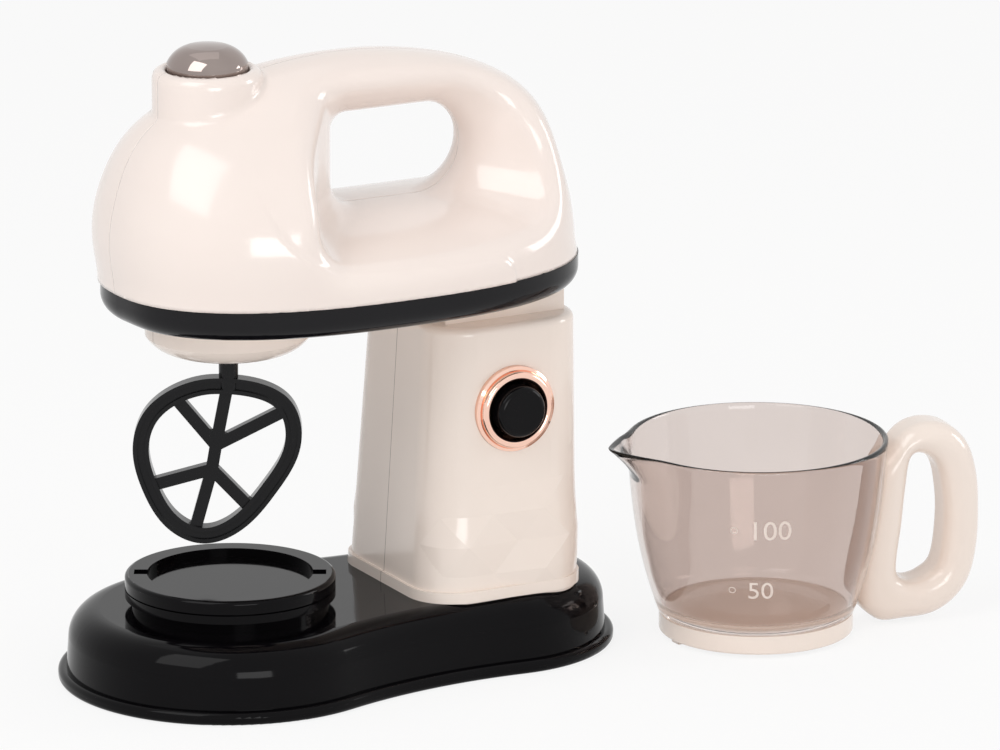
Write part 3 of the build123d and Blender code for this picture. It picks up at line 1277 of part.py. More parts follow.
TOP_SWITCH_Z = 169.0
STEM_FOOT_Z = TOP_SWITCH_Z - 2.5
with BuildPart() as top_button_stem:
    with Locations((BOSS_X, 0, TOP_SWITCH_Z + TOP_BUTTON_TRAVEL + 0.5)):
        Cylinder(TOP_STEM_R, SOCKET_TOP_Z - TOP_SWITCH_Z - TOP_BUTTON_TRAVEL - 0.5, align=ON_TOP)
    with Locations((BOSS_X, 0, BOSS_FLOOR_Z - CUP_WALL - 0.3)):
        Cylinder(TOP_STEM_R + 1.6, 1.2, align=UNDER)
    with Locations((BOSS_X, 0, STEM_FOOT_Z)):
        Cylinder(1.5, 6.0, align=ON_TOP)
keep(top_button_stem, "top_button_stem")

with BuildPart() as motor_switch:
    with Locations((BOSS_X, 0, TOP_SWITCH_Z)):
        Box(SWITCH_SIZE, SWITCH_SIZE, SWITCH_DEPTH, align=UNDER)
        Cylinder(1.8, 5.5, align=UNDER, mode=Mode.SUBTRACT)
    with Locations((BOSS_X, 0, TOP_SWITCH_Z - SWITCH_DEPTH)):
        with GridLocations(5, 3, 2, 3):
            Box(0.6, 0.8, 3.0, align=UNDER)
keep(motor_switch, "motor_switch")

with BuildPart() as motor_switch_bracket:
    with Locations((BOSS_X, 0, TOP_SWITCH_Z)):
        Box(12.6, 20.0, 3.0, align=UNDER)
        Box(SWITCH_SIZE + 0.1, SWITCH_SIZE + 0.1, 20, mode=Mode.SUBTRACT)
    for side in (1, -1):
        with Locations((BOSS_X, side * 8.8, TOP_SWITCH_Z - 3.0)):
            Box(12.6, 2.4, BOSS_FLOOR_Z - CUP_WALL - TOP_SWITCH_Z + 3.0, align=ON_TOP)
keep(motor_switch_bracket, "motor_switch_bracket")

# Bowl: a wall of revolution with a poured-out beak, in the bowl's own frame, then placed
BOWL_PLACE = Location((BOWL_X, BOWL_Y, 0), (0, 0, BOWL_TURN))


def rim_outline(radius, reach, tip_r):
    """Circle with a beak on the -X side that reaches out, drawn into the open line."""
    half = radians(SPOUT_HALF_ANGLE)
    tip = radians(4.0)
    side_x = -radius * cos(half)
    side_y = radius * sin(half)
    ThreePointArc((side_x, side_y), (radius, 0), (side_x, -side_y))
    if reach > radius + 0.01:
        low = (-reach + tip_r * 0.7, -tip_r)
        high = (-reach + tip_r * 0.7, tip_r)
        low_mid = (-(radius * 0.45 + reach * 0.55) + 0.5, -side_y * 0.42)
        high_mid = (low_mid[0], -low_mid[1])
    else:
        low = (-radius * cos(tip), -radius * sin(tip))
        high = (-radius * cos(tip), radius * sin(tip))
        low_mid = (-radius * cos((half + tip) / 2), -radius * sin((half + tip) / 2))
        high_mid = (low_mid[0], -low_mid[1])
    ThreePointArc((side_x, -side_y), low_mid, low)
    ThreePointArc(low, (-max(reach, radius), 0), high)
    ThreePointArc(high, high_mid, (side_x, side_y))


def bowl_body(inset, floor_z):
    """Solid of the bowl's outside, or of its inside when drawn in by the wall."""
    wall = [(r - inset, z) for r, z in BOWL_PROFILE]
    wall[0] = (BOWL_FLOOR_R if inset > 0 else BOWL_PROFILE[0][0], floor_z)
    with BuildPart() as shape:
        with BuildSketch(Plane.XZ):
            with BuildLine():
                Line((0, floor_z), wall[0])
                Spline(*wall)
                Polyline(wall[-1], (0, wall[-1][1]), (0, floor_z))
            make_face()
        revolve(axis=Axis.Z)
        with BuildSketch(Plane.XY.offset(BOWL_SPOUT_Z)):
            with BuildLine():
                rim_outline(BOWL_PROFILE[-1][0] - inset, 0, 0)
            make_face()
        with BuildSketch(Plane.XY.offset(BOWL_RIM_Z)):
            with BuildLine():
                rim_outline(BOWL_RIM_R - inset, SPOUT_REACH - inset, max(SPOUT_TIP_R - inset * 0.5, 0.6))
            make_face()
        loft(ruled=True)
    return shape.part


bowl_outside = bowl_body(0, BOWL_PROFILE[0][1])
bowl_inside = bowl_body(BOWL_WALL, BOWL_FLOOR_Z)
with BuildPart() as bowl:
    add(bowl_outside)
    add(bowl_inside, mode=Mode.SUBTRACT)
bowl.part.locate(BOWL_PLACE)
keep(bowl, "bowl")

# Cream foot under the bowl, with a spigot and two lugs for the seat
RING_TOP_Z = BOWL_PROFILE[0][1]
with BuildPart() as bowl_ring:
    with BuildSketch(Plane.XY.offset(RING_FOOT_Z)):
        Circle(RING_R)
    extrude(amount=RING_TOP_Z - RING_FOOT_Z)
    fillet(bowl_ring.edges().filter_by(GeomType.CIRCLE).sort_by(Axis.Z)[0], 0.8)
    with BuildSketch():
        Circle(SPIGOT_R)
        with PolarLocations(0, 2, start_angle=-BOWL_TURN):
            with Locations((SPIGOT_R + 1.8, 0)):
                Rectangle(4.0, LUG_W)
    extrude(amount=RING_FOOT_Z)
    with BuildSketch():
        Circle(SPIGOT_R - WALL)
    extrude(amount=RING_TOP_Z - RING_TOP_THICK, mode=Mode.SUBTRACT)
bowl_ring.part.locate(BOWL_PLACE)
keep(bowl_ring, "bowl_ring")

# Handle: a rounded loop that stands against the bowl's wall
def handle_loft(outline, sign):
    """Solid through outlines across the handle, drawn in (sign 1) or out (sign -1) at its faces."""
    with BuildPart() as shape:
        for step in range(-HANDLE_STEPS, HANDLE_STEPS + 1):
            angle = pi / 2 * abs(step) / HANDLE_STEPS
            side = 1 if step > 0 else -1
            y = side * (HANDLE_HALF - HANDLE_EDGE_R * (1 - sin(angle)))
            inset = sign * HANDLE_EDGE_R * (1 - cos(angle))
            places = (y, -y) if step == 0 else (y,)
            for place in places:
                with BuildSketch(Plane.XZ.offset(-place)):
                    with BuildLine():
                        Spline(*drawn_in(outline, inset), periodic=True)
                    make_face()
        loft()
    return shape.part


with BuildPart() as bowl_room:
    with BuildSketch(Plane.XZ):
        with BuildLine():
            wall_line = [(r + SEAT_GAP, z) for r, z in BOWL_PROFILE]
            Spline(*wall_line)
            Polyline(
                wall_line[-1],
                (BOWL_RIM_R + SEAT_GAP, BOWL_RIM_Z),
                (BOWL_RIM_R + SEAT_GAP, BOWL_RIM_Z + 5),
                (0, BOWL_RIM_Z + 5),
                (0, 0),
                (wall_line[0][0], 0),
                wall_line[0],
            )
        make_face()
    revolve(axis=Axis.Z)

with BuildPart() as bowl_handle:
    add(handle_loft(HANDLE_OUTLINE, 1))
    add(handle_loft(HANDLE_WINDOW, -1), mode=Mode.SUBTRACT)
    add(bowl_room.part, mode=Mode.SUBTRACT)
bowl_handle.part.locate(BOWL_PLACE)
keep(bowl_handle, "bowl_handle")
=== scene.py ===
import json
from math import cos, hypot, pi, radians, sin, sqrt

import bmesh
import bpy
import numpy as np
from mathutils import Matrix, Vector


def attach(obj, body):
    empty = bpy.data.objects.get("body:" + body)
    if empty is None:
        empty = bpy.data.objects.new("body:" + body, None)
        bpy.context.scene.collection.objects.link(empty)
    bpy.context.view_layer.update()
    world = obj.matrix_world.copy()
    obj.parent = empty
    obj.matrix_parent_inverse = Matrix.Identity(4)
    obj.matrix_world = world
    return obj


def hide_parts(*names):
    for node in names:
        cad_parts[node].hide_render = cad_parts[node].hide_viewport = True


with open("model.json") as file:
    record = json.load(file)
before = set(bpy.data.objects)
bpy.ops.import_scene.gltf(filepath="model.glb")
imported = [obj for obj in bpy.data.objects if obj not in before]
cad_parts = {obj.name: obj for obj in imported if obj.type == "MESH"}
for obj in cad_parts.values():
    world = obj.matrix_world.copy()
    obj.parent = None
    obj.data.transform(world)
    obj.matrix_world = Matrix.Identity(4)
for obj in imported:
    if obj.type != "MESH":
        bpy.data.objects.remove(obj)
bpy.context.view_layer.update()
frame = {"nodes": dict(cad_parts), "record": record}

# Sizes are written in millimetres and multiplied by this on their way into the scene
MM = 0.001

# Camera: the photograph's viewing angle, as azimuth and elevation about the mixer
CAMERA_AZIMUTH = radians(-28.0)
CAMERA_ELEVATION = radians(15.42)
CAMERA_PLACE = Vector((-1.17737, -2.39193, 0.83135))
CAMERA_LENS = 324.0
SENSOR_WIDTH = 36.0
CAMERA_SIGHT = 100.0


def srgb(red, green, blue):
    """A colour as it looks in a picture, 0 to 255, as the shader's linear colour."""
    linear = []
    for value in (red, green, blue):
        share = value / 255
        linear.append(share / 12.92 if share <= 0.04045 else ((share + 0.055) / 1.055) ** 2.4)
    return (*linear, 1.0)


# Materials: lump sizes are in millimetres, as everywhere below
NOISE_LOW = 0.3
NOISE_HIGH = 0.7
TONE_LUMP = 45.0
GLOSS_LUMP = 18.0
COAT_ROUGHNESS = 0.04
PLATE_TONE_LUMP = 12.0
PLATE_GLOSS_LUMP = 6.0
PLATE_BUMP = (5.0, 0.002)
SMOKE_TONE_LUMP = 60.0
SMOKE_GLOSS_LUMP = 25.0
SMOKE_IOR = 1.4
SEAM_HALF = 0.14
SEAM_TONE = (150, 132, 122)


def start_material(name):
    """A material with its Principled shader, and a way to add nodes to it."""
    material = bpy.data.materials.new(name)
    material.use_nodes = True
    nodes = material.node_tree.nodes
    return material, nodes, material.node_tree.links, nodes["Principled BSDF"]


def add_noise(nodes, links, size, detail=3.0):
    """Noise whose lumps are about size millimetres wide, fixed to the object's own frame."""
    place = nodes.new("ShaderNodeTexCoord")
    noise = nodes.new("ShaderNodeTexNoise")
    noise.inputs["Scale"].default_value = 1 / (size * MM)
    noise.inputs["Detail"].default_value = detail
    links.new(place.outputs["Object"], noise.inputs["Vector"])
    return noise.outputs["Fac"]


def ramp_between(nodes, links, factor, low, high):
    """A colour that moves from low to high with the factor."""
    ramp = nodes.new("ShaderNodeValToRGB")
    ramp.color_ramp.elements[0].position = NOISE_LOW
    ramp.color_ramp.elements[1].position = NOISE_HIGH
    ramp.color_ramp.elements[0].color = low
    ramp.color_ramp.elements[1].color = high
    links.new(factor, ramp.inputs["Fac"])
    return ramp.outputs["Color"]


def vary_roughness(nodes, links, shader, low, high, size):
    """Roughness that wanders between two values, as on handled plastic."""
    spread = nodes.new("ShaderNodeMapRange")
    spread.inputs["From Min"].default_value = NOISE_LOW
    spread.inputs["From Max"].default_value = NOISE_HIGH
    spread.inputs["To Min"].default_value = low
    spread.inputs["To Max"].default_value = high
    links.new(add_noise(nodes, links, size), spread.inputs["Value"])
    links.new(spread.outputs["Result"], shader.inputs["Roughness"])


def add_bump(nodes, links, shader, size, depth, strength=1.0):
    """Unevenness of the surface: lumps of that size and depth, in millimetres."""
    bump = nodes.new("ShaderNodeBump")
    bump.inputs["Strength"].default_value = strength
    bump.inputs["Distance"].default_value = depth * MM
    links.new(add_noise(nodes, links, size), bump.inputs["Height"])
    links.new(bump.outputs["Normal"], shader.inputs["Normal"])


def moulded(name, low, high, rough=(0.12, 0.2), specular=0.5, coat=0.0, bump=(9.0, 0.004)):
    """Moulded plastic: two close tones, wandering gloss and a faint moulding unevenness."""
    material, nodes, links, shader = start_material(name)
    tone = ramp_between(nodes, links, add_noise(nodes, links, TONE_LUMP), low, high)
    links.new(tone, shader.inputs["Base Color"])
    vary_roughness(nodes, links, shader, *rough, GLOSS_LUMP)
    add_bump(nodes, links, shader, *bump)
    shader.inputs["Specular IOR Level"].default_value = specular
    shader.inputs["Coat Weight"].default_value = coat
    shader.inputs["Coat Roughness"].default_value = COAT_ROUGHNESS
    return material


def plated(name, low, high, rough=(0.05, 0.12)):
    """Metal or metal plating with slightly uneven polish."""
    material, nodes, links, shader = start_material(name)
    tone = ramp_between(nodes, links, add_noise(nodes, links, PLATE_TONE_LUMP), low, high)
    links.new(tone, shader.inputs["Base Color"])
    vary_roughness(nodes, links, shader, *rough, PLATE_GLOSS_LUMP)
    add_bump(nodes, links, shader, *PLATE_BUMP)
    shader.inputs["Metallic"].default_value = 1.0
    return material


def smoked():
    """Clear smoked plastic of the bowl, which lets the lamps' light through to what is inside and behind."""
    material, nodes, links, shader = start_material("bowl_smoke_look")
    lumps = add_noise(nodes, links, SMOKE_TONE_LUMP)
    tone = ramp_between(nodes, links, lumps, srgb(222, 211, 206), srgb(226, 215, 210))
    links.new(tone, shader.inputs["Base Color"])
    vary_roughness(nodes, links, shader, 0.02, 0.05, SMOKE_GLOSS_LUMP)
    shader.inputs["Transmission Weight"].default_value = 1.0
    shader.inputs["IOR"].default_value = SMOKE_IOR
    path = nodes.new("ShaderNodeLightPath")
    lamp_or_matt = nodes.new("ShaderNodeMath")
    lamp_or_matt.operation = "MAXIMUM"
    links.new(path.outputs["Is Shadow Ray"], lamp_or_matt.inputs[0])
    links.new(path.outputs["Is Diffuse Ray"], lamp_or_matt.inputs[1])
    clear = nodes.new("ShaderNodeBsdfTransparent")
    clear.inputs["Color"].default_value = srgb(240, 234, 230)
    mix = nodes.new("ShaderNodeMixShader")
    links.new(lamp_or_matt.outputs[0], mix.inputs["Fac"])
    links.new(shader.outputs["BSDF"], mix.inputs[1])
    links.new(clear.outputs["BSDF"], mix.inputs[2])
    links.new(mix.outputs[0], nodes["Material Output"].inputs["Surface"])
    return material


def seamed(name, low, high, **more):
    """Moulded plastic with the fine dark line where two mouldings meet in the middle plane."""
    material = moulded(name, low, high, **more)
    nodes, links = material.node_tree.nodes, material.node_tree.links
    shader = nodes["Principled BSDF"]
    plain = shader.inputs["Base Color"].links[0].from_socket
    place = nodes.new("ShaderNodeTexCoord")
    parts = nodes.new("ShaderNodeSeparateXYZ")
    links.new(place.outputs["Object"], parts.inputs["Vector"])
    off = nodes.new("ShaderNodeMath")
    off.operation = "ABSOLUTE"
    links.new(parts.outputs["Y"], off.inputs[0])
    near = nodes.new("ShaderNodeMath")
    near.operation = "LESS_THAN"
    near.inputs[1].default_value = SEAM_HALF * MM
    links.new(off.outputs[0], near.inputs[0])
    mix = nodes.new("ShaderNodeMix")
    mix.data_type = "RGBA"
    mix.inputs["B"].default_value = srgb(*SEAM_TONE)
    links.new(near.outputs[0], mix.inputs["Factor"])
    links.new(plain, mix.inputs["A"])
    links.new(mix.outputs["Result"], shader.inputs["Base Color"])
    return material


LOOKS = {
    "head_cream": moulded("head_cream_look", srgb(240, 227, 220), srgb(242, 230, 223), coat=0.3),
    "column_cream": seamed("column_cream_look", srgb(240, 226, 216), srgb(242, 229, 219), coat=0.2),
    "base_black": moulded("base_black_look", srgb(5, 4, 6), srgb(7, 6, 8), (0.06, 0.1), 0.1),
    "band_black": moulded("band_black_look", srgb(16, 15, 18), srgb(20, 19, 22), (0.1, 0.16), 0.22),
    "beater_black": moulded("beater_black_look", srgb(16, 16, 18), srgb(20, 20, 22), (0.12, 0.2), 0.2),
    "button_black": moulded("button_black_look", srgb(9, 8, 10), srgb(12, 11, 13), (0.08, 0.14), 0.12),
    "rose_gold": plated("rose_gold_look", srgb(246, 202, 183), srgb(250, 212, 194)),
    "button_chrome": plated("button_chrome_look", srgb(150, 138, 134), srgb(160, 148, 143), (0.03, 0.07)),
    "bowl_smoke": smoked(),
    "inner_white": moulded("inner_white_look", srgb(222, 219, 212), srgb(230, 227, 220), (0.35, 0.5)),
    "gear_white": moulded("gear_white_look", srgb(226, 224, 215), srgb(234, 232, 224), (0.3, 0.45)),
    "switch_black": moulded("switch_black_look", srgb(26, 26, 27), srgb(34, 34, 35), (0.3, 0.45)),
    "steel": plated("steel_look", srgb(178, 178, 180), srgb(196, 196, 198), (0.2, 0.35)),
    "brass": plated("brass_look", srgb(196, 160, 96), srgb(210, 174, 110), (0.2, 0.3)),
    "contact_metal": plated("contact_metal_look", srgb(190, 188, 184), srgb(205, 203, 199), (0.2, 0.35)),
    "cell_grey": moulded("cell_grey_look", srgb(96, 98, 102), srgb(108, 110, 114), (0.25, 0.35)),
    "magnet_grey": moulded("magnet_grey_look", srgb(52, 52, 54), srgb(62, 62, 64), (0.5, 0.65)),
}


def dress_nodes():
    """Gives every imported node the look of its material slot."""
    slots = {part["node"]: part["material_slot"] for part in frame["record"]["subparts"]}
    for name, node in frame["nodes"].items():
        for place in node.material_slots:
            place.material = LOOKS[slots[name]]


dress_nodes()


def link_object(name, data):
    """A new object with that data, linked to the scene."""
    item = bpy.data.objects.new(name, data)
    bpy.context.scene.collection.objects.link(item)
    return item


# Smooth moulded forms, written as fields in millimetres that are negative inside
def smooth_min(first, second, reach):
    """The smaller of two fields, with their corner filled over reach."""
    share = np.clip(0.5 + 0.5 * (second - first) / reach, 0.0, 1.0)
    return second + (first - second) * share - reach * share * (1.0 - share)


def smooth_max(first, second, reach):
    """The larger of two fields, with their edge rounded over reach."""
    return -smooth_min(-first, -second, reach)


def smooth_step(value):
    """Moves from 0 to 1 as value does, with soft ends."""
    held = np.clip(value, 0.0, 1.0)
    return held * held * (3.0 - 2.0 * held)


def slope_of(field, points, reach=0.02):
    """The field's gradient at each point."""
    slope = np.empty_like(points)
    for axis in range(3):
        step = np.zeros(3)
        step[axis] = reach
        slope[:, axis] = (field(points + step) - field(points - step)) / (2 * reach)
    return slope


def as_distance(field, points):
    """The field divided by its slope, which near the surface is the distance from it."""
    slope = np.linalg.norm(slope_of(field, points), axis=1)
    return field(points) / np.maximum(slope, 1e-6)


def move_onto(field, points, rounds=3):
    """The points moved along the slope onto the field's surface."""
    for _ in range(rounds):
        slope = slope_of(field, points)
        size = np.maximum((slope**2).sum(axis=1), 1e-9)
        points = points - slope * (field(points) / size)[:, None]
    return points


CELL_CORNERS = [(i, j, k) for i in (0, 1) for j in (0, 1) for k in (0, 1)]
CELL_EDGES = [
    (first, second)
    for first in CELL_CORNERS
    for second in CELL_CORNERS
    if first < second and sum(abs(a - b) for a, b in zip(first, second)) == 1
]
NET_HOLD = 0.4


def surface_net(field, low, high, step, relax=6):
    """Points and quads of the field's surface: one point per crossed cell, evened out and moved onto it."""
    counts = [int(np.ceil((top - bottom) / step)) + 1 for bottom, top in zip(low, high)]
    axes = [bottom + step * np.arange(count) for bottom, count in zip(low, counts)]
    grid = np.stack(np.meshgrid(*axes, indexing="ij"), axis=-1)
    value = field(grid.reshape(-1, 3)).reshape(counts)
    inside = value < 0

    def at(array, corner):
        return array[tuple(slice(c, n - 1 + c) for c, n in zip(corner, counts))]

    filled = sum(at(inside, corner).astype(int) for corner in CELL_CORNERS)
    crossed = (filled > 0) & (filled < len(CELL_CORNERS))
    number = np.full(crossed.shape, -1)
    number[crossed] = np.arange(crossed.sum())
    total = np.zeros((crossed.sum(), 3))
    hits = np.zeros(crossed.sum())
    for first, second in CELL_EDGES:
        near = at(value, first)[crossed]
        far = at(value, second)[crossed]
        hit = (near < 0) != (far < 0)
        share = np.where(hit, near / np.where(hit, near - far, 1.0), 0.0)
        place = np.array(first) + share[:, None] * (np.array(second) - np.array(first))
        total += place * hit[:, None]
        hits += hit
    points = np.array(low) + step * (np.argwhere(crossed) + total / hits[:, None])

    quads = []
    for axis, (side, other) in enumerate(((1, 2), (2, 0), (0, 1))):
        lower = [slice(1, n - 1) for n in counts]
        upper = [slice(1, n - 1) for n in counts]
        lower[axis] = slice(0, counts[axis] - 1)
        upper[axis] = slice(1, counts[axis])
        here = inside[tuple(lower)]
        change = here != inside[tuple(upper)]
        place = np.argwhere(change) + np.array([0 if n == axis else 1 for n in range(3)])
        ring = []
        for move_side, move_other in ((-1, -1), (0, -1), (0, 0), (-1, 0)):
            cell = place.copy()
            cell[:, side] += move_side
            cell[:, other] += move_other
            ring.append(number[tuple(cell.T)])
        ring = np.stack(ring, axis=1)
        outward = here[change]
        quads.append(np.where(outward[:, None], ring, ring[:, ::-1]))
    quads = np.concatenate(quads)
    quads = quads[(quads >= 0).all(axis=1)]

    edges = np.concatenate([quads[:, [n, (n + 1) % 4]] for n in range(4)])
    links = np.bincount(edges.ravel(), minlength=len(points)).astype(float)
    for _ in range(relax):
        pull = np.zeros_like(points)
        np.add.at(pull, edges[:, 0], points[edges[:, 1]])
        np.add.at(pull, edges[:, 1], points[edges[:, 0]])
        evened = NET_HOLD * points + (1 - NET_HOLD) * pull / np.maximum(links, 1)[:, None]
        points = move_onto(field, evened, 1)
    return move_onto(field, points), quads


def net_mesh(name, points, quads):
    """A bmesh of those points and quads, in metres."""
    mesh = bpy.data.meshes.new(name)
    mesh.from_pydata((points * MM).tolist(), [], quads.tolist())
    shape = bmesh.new()
    shape.from_mesh(mesh)
    bpy.data.meshes.remove(mesh)
    return shape


def keep_side(shape, place, normal):
    """Cuts the mesh at a plane and keeps what lies on the side its normal points to."""
    everything = shape.verts[:] + shape.edges[:] + shape.faces[:]
    bmesh.ops.bisect_plane(shape, geom=everything, plane_co=place, plane_no=normal, clear_inner=True)


def finish_piece(name, shape, body, slot, *nodes):
    """Links the mesh as a smooth piece that rides on body and stands for the given nodes."""
    mesh = bpy.data.meshes.new(name)
    shape.to_mesh(mesh)
    shape.free()
    mesh.materials.append(LOOKS[slot])
    piece = link_object(name, mesh)
    for face in mesh.polygons:
        face.use_smooth = True
    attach(piece, body)
    if nodes:
        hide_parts(*nodes)
    return piece


def thicken(piece, wall):
    """Gives an open skin its wall, on the inside."""
    solid = piece.modifiers.new("wall", "SOLIDIFY")
    solid.thickness = wall * MM
    solid.offset = -1.0
    solid.use_even_offset = False
    solid.use_rim = True


# Head: a dome with a boss on its nose and the handle opening.
# Stations: height over the foot, nose, rear, half width.
# Windows: distance from the middle plane, front, rear, foot and top of the opening there.
# Corners of the opening, in the middle plane and at the side: low front, high front, low rear, high rear.
# Screws: x, z, and how far from the middle plane their wells begin.
HEAD_Z = 127.0
HEAD_TOP = 67.4
HEAD_POWER = 2.4
HEAD_WALL = 2.0
HEAD_STATIONS = [
    (0.0, -38.5, 116.0, 49.0),
    (10.0, -39.8, 114.3, 50.0),
    (20.0, -39.6, 112.4, 49.5),
    (30.0, -37.9, 110.1, 46.5),
    (40.0, -34.0, 106.6, 40.5),
    (49.0, -27.5, 100.9, 32.0),
    (57.0, -15.5, 91.1, 23.0),
    (63.0, 3.0, 74.0, 13.5),
]
WINDOWS = [
    (0.0, 34.0, 79.5, 146.5, 174.5),
    (14.0, 26.5, 87.6, 145.8, 185.8),
    (26.0, 18.5, 99.5, 143.6, 199.0),
    (42.0, 10.5, 107.5, 138.8, 214.0),
    (54.0, 4.0, 113.0, 135.0, 226.0),
]
WINDOW_CORNERS = ((9.0, 12.0), (6.0, 9.0), (15.0, 26.0), (13.0, 22.0))
WINDOW_LIP = 7.0
DOME_BELOW = 8.0
DOME_ABOVE = 6.0
BOSS_X = -6.3
BOSS_R = 17.0
BOSS_EDGE = 3.6
BOSS_FILLET = 1.4
BOSS_TOP_Z = 194.2
BOSS_FLOOR_Z = 179.9
BOSS_BORE_R = 12.95
BORE_EDGE = 1.0
STEM_HOLE_R = 3.8
PANEL_DEPTH = 0.9
PANEL_EDGE = 1.3
PANEL_FRONT_X = -5.0
PANEL_FRONT_Z = 149.0
PANEL_FRONT_LEAN = 0.23
PANEL_FOOT_X = 12.7
PANEL_FOOT_Z = 137.5
PANEL_FOOT_LEAN = 0.03
PANEL_REAR_X = 76.5
PANEL_CORNER = 26.0
PANEL_REAR_CORNER = 9.0
PANEL_FADE_Z = 172.0
PANEL_FADE_LENGTH = 24.0
HEAD_SCREWS = [(-27.0, 142.0, 24.0), (5.0, 160.0, 30.0), (100.0, 142.0, 22.0), (99.5, 160.0, 10.0)]
SCREW_WELL_R = 2.8
SCREW_WELL_EDGE = 0.8
PART_LINE = 0.03
HEAD_STEP = 1.15
HEAD_NET_LOW = (-44.0, -54.0, 123.0)
HEAD_NET_HIGH = (121.0, 54.0, 198.0)


def fit_dome():
    """Polynomials in height for the dome's middle, half length and half width, before the crown's fall."""
    rise = np.array([station[0] for station in HEAD_STATIONS])
    nose = np.array([station[1] for station in HEAD_STATIONS])
    rear = np.array([station[2] for station in HEAD_STATIONS])
    half = np.array([station[3] for station in HEAD_STATIONS])
    fall = np.sqrt(1.0 - rise / HEAD_TOP)
    middle = np.polyfit(rise, (nose + rear) / 2, 3, w=fall)
    reach = np.polyfit(rise, (rear - nose) / 2 / fall, 5, w=fall)
    width = np.polyfit(rise, half / fall, 5, w=fall)
    return middle, reach, width


DOME_FIT = fit_dome()


def fit_windows():
    """Polynomials in the square of the distance from the middle plane for the opening's four sides."""
    off = np.array([window[0] for window in WINDOWS]) ** 2
    return [np.polyfit(off, [window[side] for window in WINDOWS], 3) for side in (1, 2, 3, 4)]


WINDOW_FIT = fit_windows()


def dome_field(points):
    """The plain dome, as a superellipse at each height."""
    rise = np.clip(points[:, 2] - HEAD_Z, -DOME_BELOW, HEAD_TOP + DOME_ABOVE)
    held = np.minimum(rise, HEAD_STATIONS[-1][0])
    middle, reach, width = (np.polyval(fit, held) for fit in DOME_FIT)
    left = 1.0 - rise / HEAD_TOP
    crown = np.sign(left) * np.abs(left) ** (HEAD_POWER / 2)
    along = np.abs((points[:, 0] - middle) / reach) ** HEAD_POWER
    across = np.abs(points[:, 1] / width) ** HEAD_POWER
    return along + across - crown


def window_field(points):
    """The handle opening: a rounded rectangle that grows with the distance from the middle plane."""
    off = np.minimum(np.abs(points[:, 1]), WINDOWS[-1][0])
    x_low, x_high, z_low, z_high = (np.polyval(fit, off**2) for fit in WINDOW_FIT)
    share = off / WINDOWS[-1][0]
    middle_x, middle_z = (x_low + x_high) / 2, (z_low + z_high) / 2
    radii = [start + (end - start) * share for start, end in WINDOW_CORNERS]
    rear = points[:, 0] > middle_x
    upper = points[:, 2] > middle_z
    corner = np.where(rear, np.where(upper, radii[3], radii[2]), np.where(upper, radii[1], radii[0]))
    along = np.abs(points[:, 0] - middle_x) - (x_high - x_low) / 2 + corner
    above = np.abs(points[:, 2] - middle_z) - (z_high - z_low) / 2 + corner
    outside = np.hypot(np.maximum(along, 0), np.maximum(above, 0))
    return outside + np.minimum(np.maximum(along, above), 0) - corner


def panel_recess(points):
    """How far the side around the opening lies under the smooth panel at the nose and the foot."""
    x, z = points[:, 0], points[:, 2]
    front = PANEL_FRONT_X - PANEL_FRONT_LEAN * (z - PANEL_FRONT_Z) - x
    foot = PANEL_FOOT_Z - PANEL_FOOT_LEAN * (x - PANEL_FOOT_X) - z
    rear = PANEL_REAR_X - x
    inside = smooth_min(smooth_max(front, foot, PANEL_CORNER), rear, PANEL_REAR_CORNER)
    fade = smooth_step((PANEL_FADE_Z - z) / PANEL_FADE_LENGTH)
    return PANEL_DEPTH * fade * smooth_step(0.5 - inside / PANEL_EDGE)


def head_field(points):
    """The whole head: dome, boss and its bore, handle opening, panel and screw wells."""
    x, y, z = points.T
    body = as_distance(dome_field, points) + panel_recess(points)
    from_axis = np.hypot(x - BOSS_X, y)
    boss = smooth_max(from_axis - BOSS_R, z - BOSS_TOP_Z, BOSS_EDGE)
    body = smooth_min(body, boss, BOSS_FILLET)
    body = smooth_max(body, -as_distance(window_field, points), WINDOW_LIP)
    bore = np.maximum(from_axis - BOSS_BORE_R, BOSS_FLOOR_Z - z)
    body = smooth_max(body, -bore, BORE_EDGE)
    for screw_x, screw_z, depth in HEAD_SCREWS:
        well = np.maximum(np.hypot(x - screw_x, z - screw_z) - SCREW_WELL_R, depth - y)
        body = smooth_max(body, -well, SCREW_WELL_EDGE)
    return body


def build_head():
    """Both mouldings of the head, each a skin with its wall, with the hole for the top button's stem."""
    points, quads = surface_net(head_field, HEAD_NET_LOW, HEAD_NET_HIGH, HEAD_STEP)
    for name, side in (("head_left", -1), ("head_right", 1)):
        shape = net_mesh(name, points, quads)
        keep_side(shape, (0, 0, HEAD_Z * MM), (0, 0, 1))
        keep_side(shape, (0, side * PART_LINE * MM, 0), (0, side, 0))
        over_stem = []
        for face in shape.faces:
            middle = face.calc_center_median() / MM
            if middle.z < BOSS_FLOOR_Z + 1 and hypot(middle.x - BOSS_X, middle.y) < STEM_HOLE_R:
                over_stem.append(face)
        bmesh.ops.delete(shape, geom=over_stem, context="FACES")
        bmesh.ops.remove_doubles(shape, verts=shape.verts[:], dist=HEAD_STEP * MM / 6)
        piece = finish_piece(name + "_shell", shape, "head", "head_cream", name)
        thicken(piece, HEAD_WALL)


build_head()


